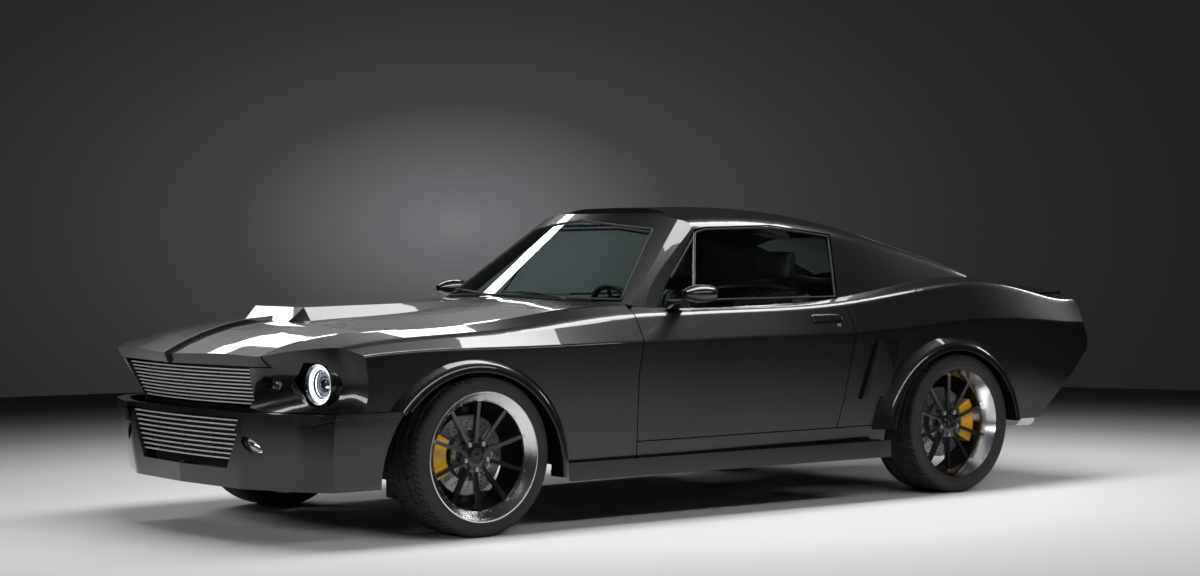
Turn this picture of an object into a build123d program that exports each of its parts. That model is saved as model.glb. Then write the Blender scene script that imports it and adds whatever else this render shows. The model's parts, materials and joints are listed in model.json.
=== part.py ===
from build123d import *
from collections import namedtuple
from math import cos, radians, sin
import os

os.makedirs("parts", exist_ok=True)

# Two-door fastback coupe.  Millimetres, +X forward, +Y to the left, +Z up.
# The origin is on the ground at the middle of the car's length and width.

# ---------------------------------------------------------------- driving sizes
WHEELBASE = 2743.0
FRONT_AXLE_X = 1440.0
REAR_AXLE_X = FRONT_AXLE_X - WHEELBASE
HALF_WIDTH = 905.0          # body side at its widest, without the wheel flares
ROOF_TOP = 1364.0           # highest point of the roof
BELT_Z = 914.0              # foot of the side glass
SILL_Z = 205.0              # underside of the sills
SHUT_GAP = 5.0              # gap round doors, hood and trunk lid
SKIN = 24.0                 # depth of a pressed panel with its inner pressing
GLASS = 5.0
GLASS_SET = 3.0             # glass lies this far under the body surface
SEAT_CLEAR = 0.3            # clearance of a piece that rests in its seat

TYRE_RADIUS = 330.0
RIM_RADIUS = 269.0
RIM_LIP = 9.0
DISC_RADIUS = 166.0
HUB_RADIUS = 34.0
RUNNING_CLEAR = 0.05        # radial clearance of a wheel bearing
LUG_CIRCLE = 114.3

FRONT_TYRE_WIDTH = 245.0
REAR_TYRE_WIDTH = 275.0
FRONT_TYRE_Y = HALF_WIDTH - 128.0    # middle of the front tyre
REAR_TYRE_Y = HALF_WIDTH - 118.0
FRONT_ARCH_RADIUS = 426.0
REAR_ARCH_RADIUS = 414.0
FRONT_ARCH_X = FRONT_AXLE_X + 40.0
REAR_ARCH_X = REAR_AXLE_X + 36.0
FRONT_ARCH_Z = 250.0
REAR_ARCH_Z = 266.0
FLARE_DEPTH = 86.0          # width of a flare, from its lip to where it dies out

DOOR_FRONT_X = FRONT_AXLE_X - 823.0
DOOR_REAR_X = FRONT_AXLE_X - 1984.0
DOOR_BOTTOM_Z = 347.0
DOOR_INNER_Y = HALF_WIDTH - 165.0

HOOD_REAR_X = FRONT_AXLE_X - 572.0
TRUNK_FRONT_X = REAR_AXLE_X - 500.0

# ---------------------------------------------------------------- body sections
# One row is one upright section of the lower body.  x is a distance ahead of the
# front or the rear axle; the columns ending in _in are distances in from HALF_WIDTH.
Section = namedtuple(
    "Section",
    "x floor_z sill_in low_in low_z crease_in crease_z top_in top_z seam_in seam_z mid_in mid_z centre_z",
)
BODY_SECTIONS = [
    Section(FRONT_AXLE_X + 985, 215, 105, 75, 400, 66, 690, 130, 712, 300, 708, 560, 726, 734),
    Section(FRONT_AXLE_X + 670, 212, 66, 44, 415, 38, 742, 106, 777, 286, 815, 560, 842, 852),
    Section(FRONT_AXLE_X + 340, 208, 56, 38, 420, 22, 768, 100, 815, 255, 846, 560, 880, 888),
    Section(FRONT_AXLE_X - 140, 205, 55, 40, 420, 18, 768, 100, 836, 236, 866, 560, 905, 912),
    Section(FRONT_AXLE_X - 590, 205, 55, 42, 420, 19, 770, 104, 868, 214, 918, 560, 944, 952),
    Section(FRONT_AXLE_X - 1140, 205, 50, 40, 425, 20, 772, 112, 893, 172, 914, 560, 922, 926),
    Section(FRONT_AXLE_X - 1740, 205, 48, 36, 440, 16, 776, 108, 900, 166, 917, 560, 922, 926),
    Section(REAR_AXLE_X + 503, 205, 46, 30, 460, 10, 784, 92, 930, 166, 950, 560, 960, 964),
    Section(REAR_AXLE_X + 100, 215, 55, 26, 500, 4, 806, 84, 978, 190, 1004, 560, 1006, 1010),
    Section(REAR_AXLE_X - 500, 240, 72, 34, 520, 18, 812, 96, 966, 232, 996, 560, 1002, 1006),
    Section(REAR_AXLE_X - 1130, 300, 110, 78, 560, 64, 800, 120, 936, 262, 966, 560, 976, 980),
]
# cut back from each corner of a body section, where its arc begins
BODY_TRIMS = [0, 26, 60, 9, 22, 16, 60, 0]

# One row is one upright section of the cabin above the belt.
RoofSection = namedtuple("RoofSection", "x belt_in rail_in rail_drop mid_in mid_drop top_drop")
ROOF_SECTIONS = [
    RoofSection(FRONT_AXLE_X - 560, 150, 384, 102, 640, 50, 48),
    RoofSection(FRONT_AXLE_X - 1170, 152, 372, 74, 640, 26, 22),
    RoofSection(FRONT_AXLE_X - 1540, 154, 350, 66, 620, 3, 0),
    RoofSection(FRONT_AXLE_X - 1940, 156, 336, 80, 610, 14, 11),
    RoofSection(REAR_AXLE_X + 453, 158, 330, 128, 610, 54, 50),
    RoofSection(REAR_AXLE_X + 103, 166, 346, 196, 610, 126, 122),
    RoofSection(REAR_AXLE_X - 247, 180, 336, 286, 610, 232, 228),
    RoofSection(REAR_AXLE_X - 527, 206, 330, 376, 610, 350, 348),
]
ROOF_TRIMS = [0, 0, 0, 52, 70, 0]

# One row is one level outline of the front or the rear end, from the middle to the
# body side.  x is from the front or the rear axle.
EndOutline = namedtuple("EndOutline", "z centre_x shoulder_x shoulder_y corner_x corner_y side_x side_in")
UPPER_NOSE = [
    EndOutline(1000, 1070, 980, 660, 720, 780, 560, -30),
    EndOutline(840, 978, 902, 616, 640, 772, 520, -30),
    EndOutline(745, 952, 874, 604, 615, 785, 510, -30),
    EndOutline(650, 908, 852, 520, 582, 803, 500, -30),
    EndOutline(530, 862, 824, 452, 628, 806, 500, -30),
]
LOWER_NOSE = [
    EndOutline(530, 904, 880, 490, 785, 742, 668, 14),
    EndOutline(400, 910, 877, 480, 777, 750, 664, 12),
    EndOutline(190, 888, 866, 430, 744, 730, 640, 20),
]
TAIL = [
    EndOutline(1060, -1030, -985, 700, -950, 770, -800, -60),
    EndOutline(911, -1042, -1000, 700, -984, 760, -820, -60),
    EndOutline(700, -1090, -1084, 640, -1070, 770, -880, -60),
    EndOutline(655, -1090, -1082, 640, -1066, 770, -880, -60),
    EndOutline(540, -985, -975, 640, -950, 780, -760, -60),
    EndOutline(345, -740, -730, 640, -712, 780, -560, -60),
    EndOutline(150, -560, -556, 640, -540, 780, -400, -60),
]
END_TRIMS = [0, 0, 26, 22, 60, 0]


def rounded_run(points, trims):
    """Closed run of lines and tangent arcs; each corner is cut back by its own trim."""
    count = len(points)
    corners = [Vector(*p) for p in points]
    starts, ends = [], []
    for i, corner in enumerate(corners):
        before = (corners[i - 1] - corner).normalized()
        after = (corners[(i + 1) % count] - corner).normalized()
        starts.append(corner + before * trims[i])
        ends.append(corner + after * trims[i])
    for i, corner in enumerate(corners):
        if trims[i] > 0:
            TangentArc(starts[i], ends[i], tangent=corner - starts[i])
        Line(ends[i], starts[(i + 1) % count])


def side_y(inward):
    """Distance from the middle of a point given as a distance in from the widest side."""
    return HALF_WIDTH - inward


def body_half(inset):
    """Left half of the lower body's outer form, drawn in by inset on every side."""
    with BuildPart() as half:
        for s in BODY_SECTIONS:
            points = [
                (0, s.floor_z + inset),
                (side_y(s.sill_in) - inset, s.floor_z + inset),
                (side_y(s.low_in) - inset, s.low_z),
                (side_y(s.crease_in) - inset, s.crease_z),
                (side_y(s.top_in) - 0.7 * inset, s.top_z - 0.7 * inset),
                (side_y(s.seam_in) - 0.3 * inset, s.seam_z - inset),
                (side_y(s.mid_in), s.mid_z - inset),
                (0, s.centre_z - inset),
            ]
            with BuildSketch(Plane.YZ.offset(s.x)):
                with BuildLine():
                    rounded_run(points, BODY_TRIMS)
                make_face()
        loft()
    return half.part


def roof_half(inset):
    """Left half of the cabin's outer form, from below the belt to the roof."""
    with BuildPart() as half:
        for s in ROOF_SECTIONS:
            points = [
                (0, BELT_Z - 90),
                (side_y(s.belt_in) - inset, BELT_Z - 90),
                (side_y(s.belt_in) - inset, BELT_Z - 4),
                (side_y(s.rail_in) - inset, ROOF_TOP - s.rail_drop - 0.6 * inset),
                (side_y(s.mid_in), ROOF_TOP - s.mid_drop - inset),
                (0, ROOF_TOP - s.top_drop - inset),
            ]
            with BuildSketch(Plane.YZ.offset(s.x)):
                with BuildLine():
                    rounded_run(points, ROOF_TRIMS)
                make_face()
        loft()
    return half.part


def end_form(outlines, axle_x, back_x, inset, ruled=False):
    """Upright form behind a front or rear face, lofted through its level outlines."""
    inward = inset if outlines[0].centre_x > 0 else -inset
    with BuildPart() as form:
        for o in outlines:
            points = [
                (back_x, 0),
                (axle_x + o.centre_x - inward, 0),
                (axle_x + o.shoulder_x - inward, o.shoulder_y - 0.4 * inset),
                (axle_x + o.corner_x - inward, o.corner_y - inset),
                (axle_x + o.side_x, side_y(o.side_in) - inset),
                (back_x, side_y(o.side_in) - inset),
            ]
            with BuildSketch(Plane.XY.offset(o.z)):
                with BuildLine():
                    rounded_run(points, END_TRIMS)
                make_face()
        loft(ruled=ruled)
    return form.part



def block(low, high):
    """Plain block between two corners."""
    with BuildPart(mode=Mode.PRIVATE) as box:
        with BuildSketch(Plane.XY.offset(low[2])):
            with BuildLine():
                Polyline((low[0], low[1]), (high[0], low[1]), (high[0], high[1]), (low[0], high[1]), close=True)
            make_face()
        extrude(amount=high[2] - low[2])
    return box.part


def side_prism(points, low_y, high_y):
    """Block whose side view is the outline of points (x, z), from low_y to high_y."""
    with BuildPart(mode=Mode.PRIVATE) as prism:
        with BuildSketch(Plane.XZ.offset(-high_y)):
            with BuildLine():
                Polyline(*points, close=True)
            make_face()
        extrude(amount=high_y - low_y)
    return prism.part


def plan_prism(points, low_z, high_z):
    """Block whose plan is the outline of points (x, y), from low_z to high_z."""
    with BuildPart(mode=Mode.PRIVATE) as prism:
        with BuildSketch(Plane.XY.offset(low_z)):
            with BuildLine():
                Polyline(*points, close=True)
            make_face()
        extrude(amount=high_z - low_z)
    return prism.part


def front_prism(points, low_x, high_x):
    """Block whose front view is the outline of points (y, z), from low_x to high_x."""
    with BuildPart(mode=Mode.PRIVATE) as prism:
        with BuildSketch(Plane.YZ.offset(low_x)):
            with BuildLine():
                Polyline(*points, close=True)
            make_face()
        extrude(amount=high_x - low_x)
    return prism.part


def cross_cylinder(x, z, radius, low_y, high_y):
    """Cylinder across the car."""
    with BuildPart(mode=Mode.PRIVATE) as cylinder:
        with BuildSketch(Plane.XZ.offset(-high_y)):
            with Locations((x, z)):
                Circle(radius)
        extrude(amount=high_y - low_y)
    return cylinder.part


# ---------------------------------------------------------------- whole forms
NOSE_BACK_X = FRONT_AXLE_X + 60
TAIL_BACK_X = REAR_AXLE_X - 200
NOSE_SPLIT_Z = 530.0        # the upper nose meets the front bumper here
BUMPER_SPLIT_Z = 655.0      # the tail panel meets the rear bumper here


def lower_form(inset):
    """Left half of the body below the cabin, with its front and rear ends shaped."""
    with BuildPart() as ends:
        add(block((TAIL_BACK_X, 0, 100), (NOSE_BACK_X, HALF_WIDTH + 60, 1100)))
        add(end_form(UPPER_NOSE, FRONT_AXLE_X, NOSE_BACK_X, inset))
        add(end_form(LOWER_NOSE, FRONT_AXLE_X, NOSE_BACK_X, inset))
        add(end_form(TAIL, REAR_AXLE_X, TAIL_BACK_X, inset, ruled=True))
    with BuildPart() as form:
        add(body_half(inset))
        add(ends.part, mode=Mode.INTERSECT)
    return form.part


SCREEN_FOOT_Z = 880.0
SCREEN_HEAD_Z = 1330.0


def screen_form(inset):
    """Left half of all that lies behind the raked windscreen."""
    slope_in = 1.5 * inset
    with BuildPart() as form:
        for z, centre, middle, corner in [
            (SCREEN_FOOT_Z, (-610, 0), (-672, 400), (-840, 752)),
            (SCREEN_HEAD_Z, (-1222, 0), (-1266, 270), (-1374, 494)),
        ]:
            run = [Vector(FRONT_AXLE_X + p[0] - slope_in, p[1]) for p in (centre, middle, corner)]
            with BuildSketch(Plane.XY.offset(z)):
                with BuildLine():
                    ThreePointArc(*run)
                    Polyline(run[2], (run[2].X - 900, HALF_WIDTH), (TAIL_BACK_X - 400, HALF_WIDTH),
                             (TAIL_BACK_X - 400, 0), run[0])
                make_face()
        loft(ruled=True)
        with BuildSketch(Plane.XY.offset(SCREEN_FOOT_Z)):
            with BuildLine():
                Polyline((TAIL_BACK_X - 400, 0), (FRONT_AXLE_X - 1374, 0), (FRONT_AXLE_X - 1374, HALF_WIDTH),
                         (TAIL_BACK_X - 400, HALF_WIDTH), close=True)
            make_face()
        extrude(amount=ROOF_TOP + 60 - SCREEN_FOOT_Z)
    return form.part


# ---------------------------------------------------------------- outlines
# side views are (x, z), plans are (x, y), front views are (y, z)
DOOR_LINE = [
    (DOOR_FRONT_X, DOOR_BOTTOM_Z), (DOOR_FRONT_X, 640), (DOOR_FRONT_X - 53, BELT_Z + 40),
    (DOOR_REAR_X - 112, BELT_Z + 40), (DOOR_REAR_X - 102, 762), (DOOR_REAR_X - 72, 629),
    (DOOR_REAR_X - 40, 470), (DOOR_REAR_X, DOOR_BOTTOM_Z),
]
SIDE_WINDOW = [
    (FRONT_AXLE_X - 950, BELT_Z - 60), (FRONT_AXLE_X - 1386, 1256), (FRONT_AXLE_X - 1450, 1268),
    (FRONT_AXLE_X - 1844, 1276), (FRONT_AXLE_X - 2210, 1232), (FRONT_AXLE_X - 2094, BELT_Z - 60),
]
SIDE_GLASS = [
    (FRONT_AXLE_X - 958, BELT_Z - 60), (FRONT_AXLE_X - 1389, 1249), (FRONT_AXLE_X - 1451, 1262),
    (FRONT_AXLE_X - 1844, 1270), (FRONT_AXLE_X - 2203, 1227), (FRONT_AXLE_X - 2088, BELT_Z - 60),
]
HOOD_PLAN = [
    (HOOD_REAR_X, -1), (HOOD_REAR_X, side_y(214)), (FRONT_AXLE_X + 340, side_y(255)),
    (FRONT_AXLE_X + 670, side_y(286)), (FRONT_AXLE_X + 1000, side_y(304)), (FRONT_AXLE_X + 1000, -1),
]
TRUNK_PLAN = [
    (TRUNK_FRONT_X, -1), (TRUNK_FRONT_X, side_y(234)), (REAR_AXLE_X - 1130, side_y(262)),
    (REAR_AXLE_X - 1130, -1),
]
REAR_WINDOW_PLAN = [
    (REAR_AXLE_X + 123, -1), (REAR_AXLE_X + 103, side_y(425)), (REAR_AXLE_X - 425, side_y(345)),
    (REAR_AXLE_X - 440, -1),
]
WINDSCREEN_FRONT = [(-1, 938), (676, 938), (456, 1262), (-1, 1306)]
HOOD_LIP_Z = 714.0
TRUNK_LIP_Z = 925.0
GRILLE_FRONT = [(-1, HOOD_LIP_Z), (528, HOOD_LIP_Z), (474, 577), (440, 545), (-1, 545)]
LOWER_GRILLE_FRONT = [(-1, 508), (478, 508), (352, 300), (-1, 300)]
RIDGE_Y = 540.0             # the grille surround meets the fenders here
COWL_Y = side_y(214)
FENDER_FOOT_Z = 222.0
QUARTER_FOOT_Z = 325.0

# ---------------------------------------------------------------- body forms
outer = lower_form(0)
inner = lower_form(SKIN)
with BuildPart() as body_wall:
    add(outer)
    add(inner, mode=Mode.SUBTRACT)
wall = body_wall.part
PROUD = 16.0                # blade, side scoop, spine and tail lip stand this far out of the body
proud_form = lower_form(-PROUD)


def proud(region, cuts=()):
    """Raised form on the left body side: what a region holds of the body grown outwards."""
    with BuildPart(mode=Mode.PRIVATE) as form:
        add(proud_form)
        add(region, mode=Mode.INTERSECT)
        add(inner, mode=Mode.SUBTRACT)
        for cut in cuts:
            add(cut, mode=Mode.SUBTRACT)
    return form.part


def cabin_form(inset):
    """Left half of the cabin above the belt, behind the windscreen."""
    with BuildPart() as form:
        add(roof_half(inset))
        add(screen_form(inset), mode=Mode.INTERSECT)
    return form.part


cabin_outer = cabin_form(0)


def both_sides(half):
    """A piece with its mirror image, as one node."""
    with BuildPart(mode=Mode.PRIVATE) as pair:
        add(half)
        mirror(about=Plane.XZ)
    return pair.part


def save(part, name):
    """Write one finished piece."""
    part.label = name
    export_step(part, f"parts/{name}.step")


front_arch = cross_cylinder(FRONT_ARCH_X, FRONT_ARCH_Z, FRONT_ARCH_RADIUS, 0, HALF_WIDTH + 80)
rear_arch = cross_cylinder(REAR_ARCH_X, REAR_ARCH_Z, REAR_ARCH_RADIUS, 0, HALF_WIDTH + 80)


def flare(arch_x, arch_z, radius, lip_y):
    """Wheel-arch flare: a rounded lip turned about the arch centre."""
    with BuildPart(mode=Mode.PRIVATE) as ring:
        with BuildSketch(Plane((arch_x, 0, arch_z), x_dir=(0, 1, 0), z_dir=(1, 0, 0))):
            with BuildLine():
                rounded_run(
                    [(lip_y - 70, radius - 6), (lip_y, radius - 6), (lip_y + 2, radius + 26),
                     (lip_y - 70, radius + FLARE_DEPTH)],
                    [0, 8, 20, 0],
                )
            make_face()
        revolve(axis=Axis((arch_x, 0, arch_z), (0, 1, 0)))
    return ring.part


front_flare = flare(FRONT_ARCH_X, FRONT_ARCH_Z, FRONT_ARCH_RADIUS, HALF_WIDTH + 9)
rear_flare = flare(REAR_ARCH_X, REAR_ARCH_Z, REAR_ARCH_RADIUS, HALF_WIDTH + 35)

# ---------------------------------------------------------------- hood
# One row is one upright section of the scoop: half its flat top, and its foot inside the hood.
ScoopSection = namedtuple("ScoopSection", "x top_half top_z foot_half foot_z")
SCOOP_SECTIONS = [
    ScoopSection(FRONT_AXLE_X + 522, 168, 846, 262, 800),
    ScoopSection(FRONT_AXLE_X + 426, 200, 932, 288, 840),
    ScoopSection(FRONT_AXLE_X + 187, 195, 936, 285, 850),
    ScoopSection(FRONT_AXLE_X - 67, 188, 940, 278, 860),
    ScoopSection(FRONT_AXLE_X - 329, 176, 944, 255, 880),
    ScoopSection(HOOD_REAR_X, 165, 951, 245, 900),
]
SPINE_PLAN = [
    (FRONT_AXLE_X + 440, -1), (FRONT_AXLE_X + 1000, -1), (FRONT_AXLE_X + 1000, 9), (FRONT_AXLE_X + 440, 15),
]
with BuildPart() as scoop:
    for row in SCOOP_SECTIONS:
        with BuildSketch(Plane.YZ.offset(row.x)):
            with BuildLine():
                Polyline((-1, row.foot_z), (row.foot_half, row.foot_z), (row.top_half, row.top_z),
                         (-1, row.top_z), close=True)
            make_face()
    loft(ruled=True)
with BuildPart() as hood_half:
    add(wall)
    add(plan_prism(HOOD_PLAN, HOOD_LIP_Z, 1100), mode=Mode.INTERSECT)
    add(scoop.part)
    add(proud(plan_prism(SPINE_PLAN, HOOD_LIP_Z, 1100)))
    add(inner, mode=Mode.SUBTRACT)
with BuildPart() as hood:
    add(hood_half.part)
    mirror(about=Plane.XZ)
save(hood.part, "hood")

# ---------------------------------------------------------------- front fenders with lamp buckets
LAMP_Z = 641.0
HEADLAMP_X = FRONT_AXLE_X + 660
HEADLAMP_Y = side_y(205)
HEADLAMP_RADIUS = 89.0
HEADLAMP_DEPTH = 70.0
INNER_LAMP_X = FRONT_AXLE_X + 768
INNER_LAMP_Y = side_y(334)
INNER_LAMP_RADIUS = 30.0
LAMP_TURN = 8.0             # the lamps face this far outwards

hood_cut = plan_prism(
    [(HOOD_PLAN[0][0] - SHUT_GAP, -1)] + [(x, y + SHUT_GAP) for x, y in HOOD_PLAN[1:-1]]
    + [(HOOD_PLAN[-1][0] + 50, -1)], HOOD_LIP_Z - SHUT_GAP, 1100)
fender_side = [
    (DOOR_FRONT_X + SHUT_GAP, FENDER_FOOT_Z), (DOOR_FRONT_X + SHUT_GAP, 640),
    (DOOR_FRONT_X + SHUT_GAP - 53, BELT_Z + 40), (FRONT_AXLE_X + 1000, BELT_Z + 40),
    (FRONT_AXLE_X + 1000, NOSE_SPLIT_Z), (FRONT_ARCH_X, NOSE_SPLIT_Z), (FRONT_ARCH_X, FENDER_FOOT_Z),
]
bucket_back_x = FRONT_AXLE_X + 510
bucket_face = Plane((HEADLAMP_X - 46, HEADLAMP_Y, LAMP_Z), x_dir=(0, 1, 0), z_dir=(sin(radians(58)), sin(radians(32)), 0))
with BuildPart() as bucket:
    with BuildSketch(Plane.YZ.offset(bucket_back_x)):
        with BuildLine():
            rounded_run(
                [(RIDGE_Y + 3, 580), (RIDGE_Y + 20, 706), (side_y(136), 744), (side_y(112), 640), (side_y(140), 562)],
                [28, 40, 52, 44, 36],
            )
        make_face()
    extrude(amount=520)
    split(bisect_by=bucket_face, keep=Keep.TOP)


def lamp_plane(x, y):
    """Plane of a lamp's front face, turned a little outwards."""
    turn = radians(LAMP_TURN)
    return Plane((x, y, LAMP_Z), x_dir=(-sin(turn), cos(turn), 0), z_dir=(cos(turn), sin(turn), 0))


headlamp_plane = lamp_plane(HEADLAMP_X, HEADLAMP_Y)
inner_lamp_plane = lamp_plane(INNER_LAMP_X, INNER_LAMP_Y)
with BuildPart() as fender_half:
    add(wall)
    add(side_prism(fender_side, COWL_Y - 200, HALF_WIDTH + 40), mode=Mode.INTERSECT)
with BuildPart() as fender_nose:
    add(outer)
    add(block((bucket_back_x, RIDGE_Y, NOSE_SPLIT_Z), (FRONT_AXLE_X + 1000, HALF_WIDTH + 20, 900)),
        mode=Mode.INTERSECT)
    add(bucket.part, mode=Mode.SUBTRACT)
with BuildPart() as flare_piece:
    add(front_flare)
    add(block((FRONT_ARCH_X - 600, 700, FENDER_FOOT_Z), (FRONT_ARCH_X + 600, 1000, 900)), mode=Mode.INTERSECT)
    add(inner, mode=Mode.SUBTRACT)
    add(block((FRONT_ARCH_X, 700, 0), (FRONT_ARCH_X + 600, 1000, NOSE_SPLIT_Z)), mode=Mode.SUBTRACT)
with BuildPart() as fender:
    add(fender_half.part)
    add(block((0, 0, 0), (bucket_back_x + 600, RIDGE_Y, 1000)), mode=Mode.SUBTRACT)
    add(fender_nose.part)
    add(flare_piece.part)
    add(hood_cut, mode=Mode.SUBTRACT)
    add(front_arch, mode=Mode.SUBTRACT)
    add(block((0, 0, BELT_Z - 60), (HOOD_REAR_X, COWL_Y, 1100)), mode=Mode.SUBTRACT)
    add(block((0, 0, 0), (FRONT_ARCH_X, side_y(80), SILL_Z + SKIN + 10)), mode=Mode.SUBTRACT)
    with BuildSketch(headlamp_plane.offset(-HEADLAMP_DEPTH)):
        Circle(HEADLAMP_RADIUS + SEAT_CLEAR)
    extrude(amount=HEADLAMP_DEPTH * 2, mode=Mode.SUBTRACT)
    with BuildSketch(inner_lamp_plane.offset(-HEADLAMP_DEPTH)):
        Circle(INNER_LAMP_RADIUS + SEAT_CLEAR)
    extrude(amount=HEADLAMP_DEPTH * 2, mode=Mode.SUBTRACT)
save(both_sides(fender.part), "front_fenders")

# ---------------------------------------------------------------- nose and front bumper
NOSE_WALL_X = FRONT_AXLE_X + 560
with BuildPart() as surround:
    add(wall)
    add(block((NOSE_WALL_X, -1, NOSE_SPLIT_Z), (FRONT_AXLE_X + 1000, RIDGE_Y, HOOD_LIP_Z - SHUT_GAP)),
        mode=Mode.INTERSECT)
    add(front_prism(GRILLE_FRONT, NOSE_WALL_X, FRONT_AXLE_X + 1000), mode=Mode.SUBTRACT)
with BuildPart() as grille_surround:
    add(surround.part)
    mirror(about=Plane.XZ)
save(grille_surround.part, "grille_surround")

BLADE_FRONT = [
    (476, NOSE_SPLIT_Z), (side_y(10), NOSE_SPLIT_Z), (side_y(10), 518), (side_y(105), 490), (side_y(185), 476),
    (side_y(405), 452), (440, 447),
]
FOG_Y = side_y(388)
FOG_Z = 398.0
FOG_TILT = -28.0
with BuildPart() as bumper_half:
    add(wall)
    add(block((FRONT_ARCH_X, -1, FENDER_FOOT_Z), (FRONT_AXLE_X + 1000, HALF_WIDTH + 20, NOSE_SPLIT_Z)),
        mode=Mode.INTERSECT)
    add(proud(front_prism(BLADE_FRONT, FRONT_ARCH_X, FRONT_AXLE_X + 1000)))
    add(front_prism(LOWER_GRILLE_FRONT, NOSE_WALL_X + 50, FRONT_AXLE_X + 1000), mode=Mode.SUBTRACT)
    with BuildSketch(Plane.YZ.offset(NOSE_WALL_X + 50)):
        with Locations(Location((FOG_Y, FOG_Z, 0), (0, 0, 1), FOG_TILT)):
            Ellipse(58, 27)
    extrude(amount=400, mode=Mode.SUBTRACT)
    add(front_arch, mode=Mode.SUBTRACT)
with BuildPart() as front_bumper:
    add(bumper_half.part)
    mirror(about=Plane.XZ)
save(front_bumper.part, "front_bumper")

# ---------------------------------------------------------------- cowl
with BuildPart() as cowl_half:
    add(outer)
    add(block((DOOR_FRONT_X - 30, -1, 850), (HOOD_REAR_X - SHUT_GAP, COWL_Y, 1000)), mode=Mode.INTERSECT)
    add(inner, mode=Mode.SUBTRACT)
with BuildPart() as cowl:
    add(cowl_half.part)
    mirror(about=Plane.XZ)
save(cowl.part, "cowl")

# ---------------------------------------------------------------- doors
DOOR_STEP = 16.0            # the inner half of a door stands back this far inside its skin
door_inner_line = [
    (DOOR_FRONT_X - DOOR_STEP, DOOR_BOTTOM_Z + DOOR_STEP), (DOOR_FRONT_X - DOOR_STEP, 640),
    (DOOR_FRONT_X - DOOR_STEP - 53, BELT_Z + 40), (DOOR_REAR_X - 112 + DOOR_STEP, BELT_Z + 40),
    (DOOR_REAR_X - 102 + DOOR_STEP, 762), (DOOR_REAR_X - 72 + DOOR_STEP, 629),
    (DOOR_REAR_X - 40 + DOOR_STEP, 470), (DOOR_REAR_X + DOOR_STEP, DOOR_BOTTOM_Z + DOOR_STEP),
]
with BuildPart() as door_skin:
    add(wall)
    add(side_prism(DOOR_LINE, DOOR_INNER_Y + 12, HALF_WIDTH + 40), mode=Mode.INTERSECT)
with BuildPart() as door_core:
    add(outer)
    add(side_prism(door_inner_line, DOOR_INNER_Y, HALF_WIDTH + 40), mode=Mode.INTERSECT)
with BuildPart() as door_left:
    add(door_skin.part)
    add(door_core.part)
with BuildPart() as door_right:
    mirror(door_left.part, about=Plane.XZ)
save(door_left.part, "door_left")
save(door_right.part, "door_right")

# ---------------------------------------------------------------- roof, pillars and glass
ROOF_WALL = 30.0
with BuildPart() as roof_shell:
    add(cabin_outer)
    add(cabin_form(ROOF_WALL), mode=Mode.SUBTRACT)
    add(outer, mode=Mode.SUBTRACT)
    add(block((TRUNK_FRONT_X - 300, -1, 800), (TRUNK_FRONT_X + SHUT_GAP, HALF_WIDTH, 1100)), mode=Mode.SUBTRACT)
    add(side_prism(SIDE_WINDOW, 400, HALF_WIDTH), mode=Mode.SUBTRACT)
    add(plan_prism(REAR_WINDOW_PLAN, 900, 1400), mode=Mode.SUBTRACT)
    add(front_prism(WINDSCREEN_FRONT, FRONT_AXLE_X - 1330, FRONT_AXLE_X - 500), mode=Mode.SUBTRACT)
with BuildPart() as roof:
    add(roof_shell.part)
    mirror(about=Plane.XZ)
save(roof.part, "roof")

with BuildPart() as glass_shell:
    add(cabin_form(GLASS_SET))
    add(cabin_form(GLASS_SET + GLASS), mode=Mode.SUBTRACT)
    add(outer, mode=Mode.SUBTRACT)
with BuildPart() as windscreen_half:
    add(glass_shell.part)
    add(front_prism(WINDSCREEN_FRONT, FRONT_AXLE_X - 1330, FRONT_AXLE_X - 500), mode=Mode.INTERSECT)
with BuildPart() as windscreen:
    add(windscreen_half.part)
    mirror(about=Plane.XZ)
save(windscreen.part, "windscreen")
with BuildPart() as rear_glass_half:
    add(glass_shell.part)
    add(plan_prism(REAR_WINDOW_PLAN, 960, 1400), mode=Mode.INTERSECT)
    add(block((TRUNK_FRONT_X - 300, -1, 800), (TRUNK_FRONT_X + SHUT_GAP, HALF_WIDTH, 1100)), mode=Mode.SUBTRACT)
with BuildPart() as rear_window:
    add(rear_glass_half.part)
    mirror(about=Plane.XZ)
save(rear_window.part, "rear_window")
with BuildPart() as door_glass_left:
    add(glass_shell.part)
    add(side_prism(SIDE_GLASS, 400, HALF_WIDTH), mode=Mode.INTERSECT)
with BuildPart() as door_glass_right:
    mirror(door_glass_left.part, about=Plane.XZ)
save(door_glass_left.part, "door_glass_left")
save(door_glass_right.part, "door_glass_right")

# ---------------------------------------------------------------- trunk lid, quarters and tail
TAIL_LIP_SIDE = [
    (REAR_AXLE_X - 857, 925), (REAR_AXLE_X - 1060, 1022), (REAR_AXLE_X - 1130, 1022), (REAR_AXLE_X - 1130, 925),
]
with BuildPart() as trunk_half:
    add(wall)
    add(plan_prism(TRUNK_PLAN, TRUNK_LIP_Z, 1100), mode=Mode.INTERSECT)
    add(proud(side_prism(TAIL_LIP_SIDE, -1, TRUNK_PLAN[2][1])))
with BuildPart() as trunk_lid:
    add(trunk_half.part)
    mirror(about=Plane.XZ)
save(trunk_lid.part, "trunk_lid")

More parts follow.
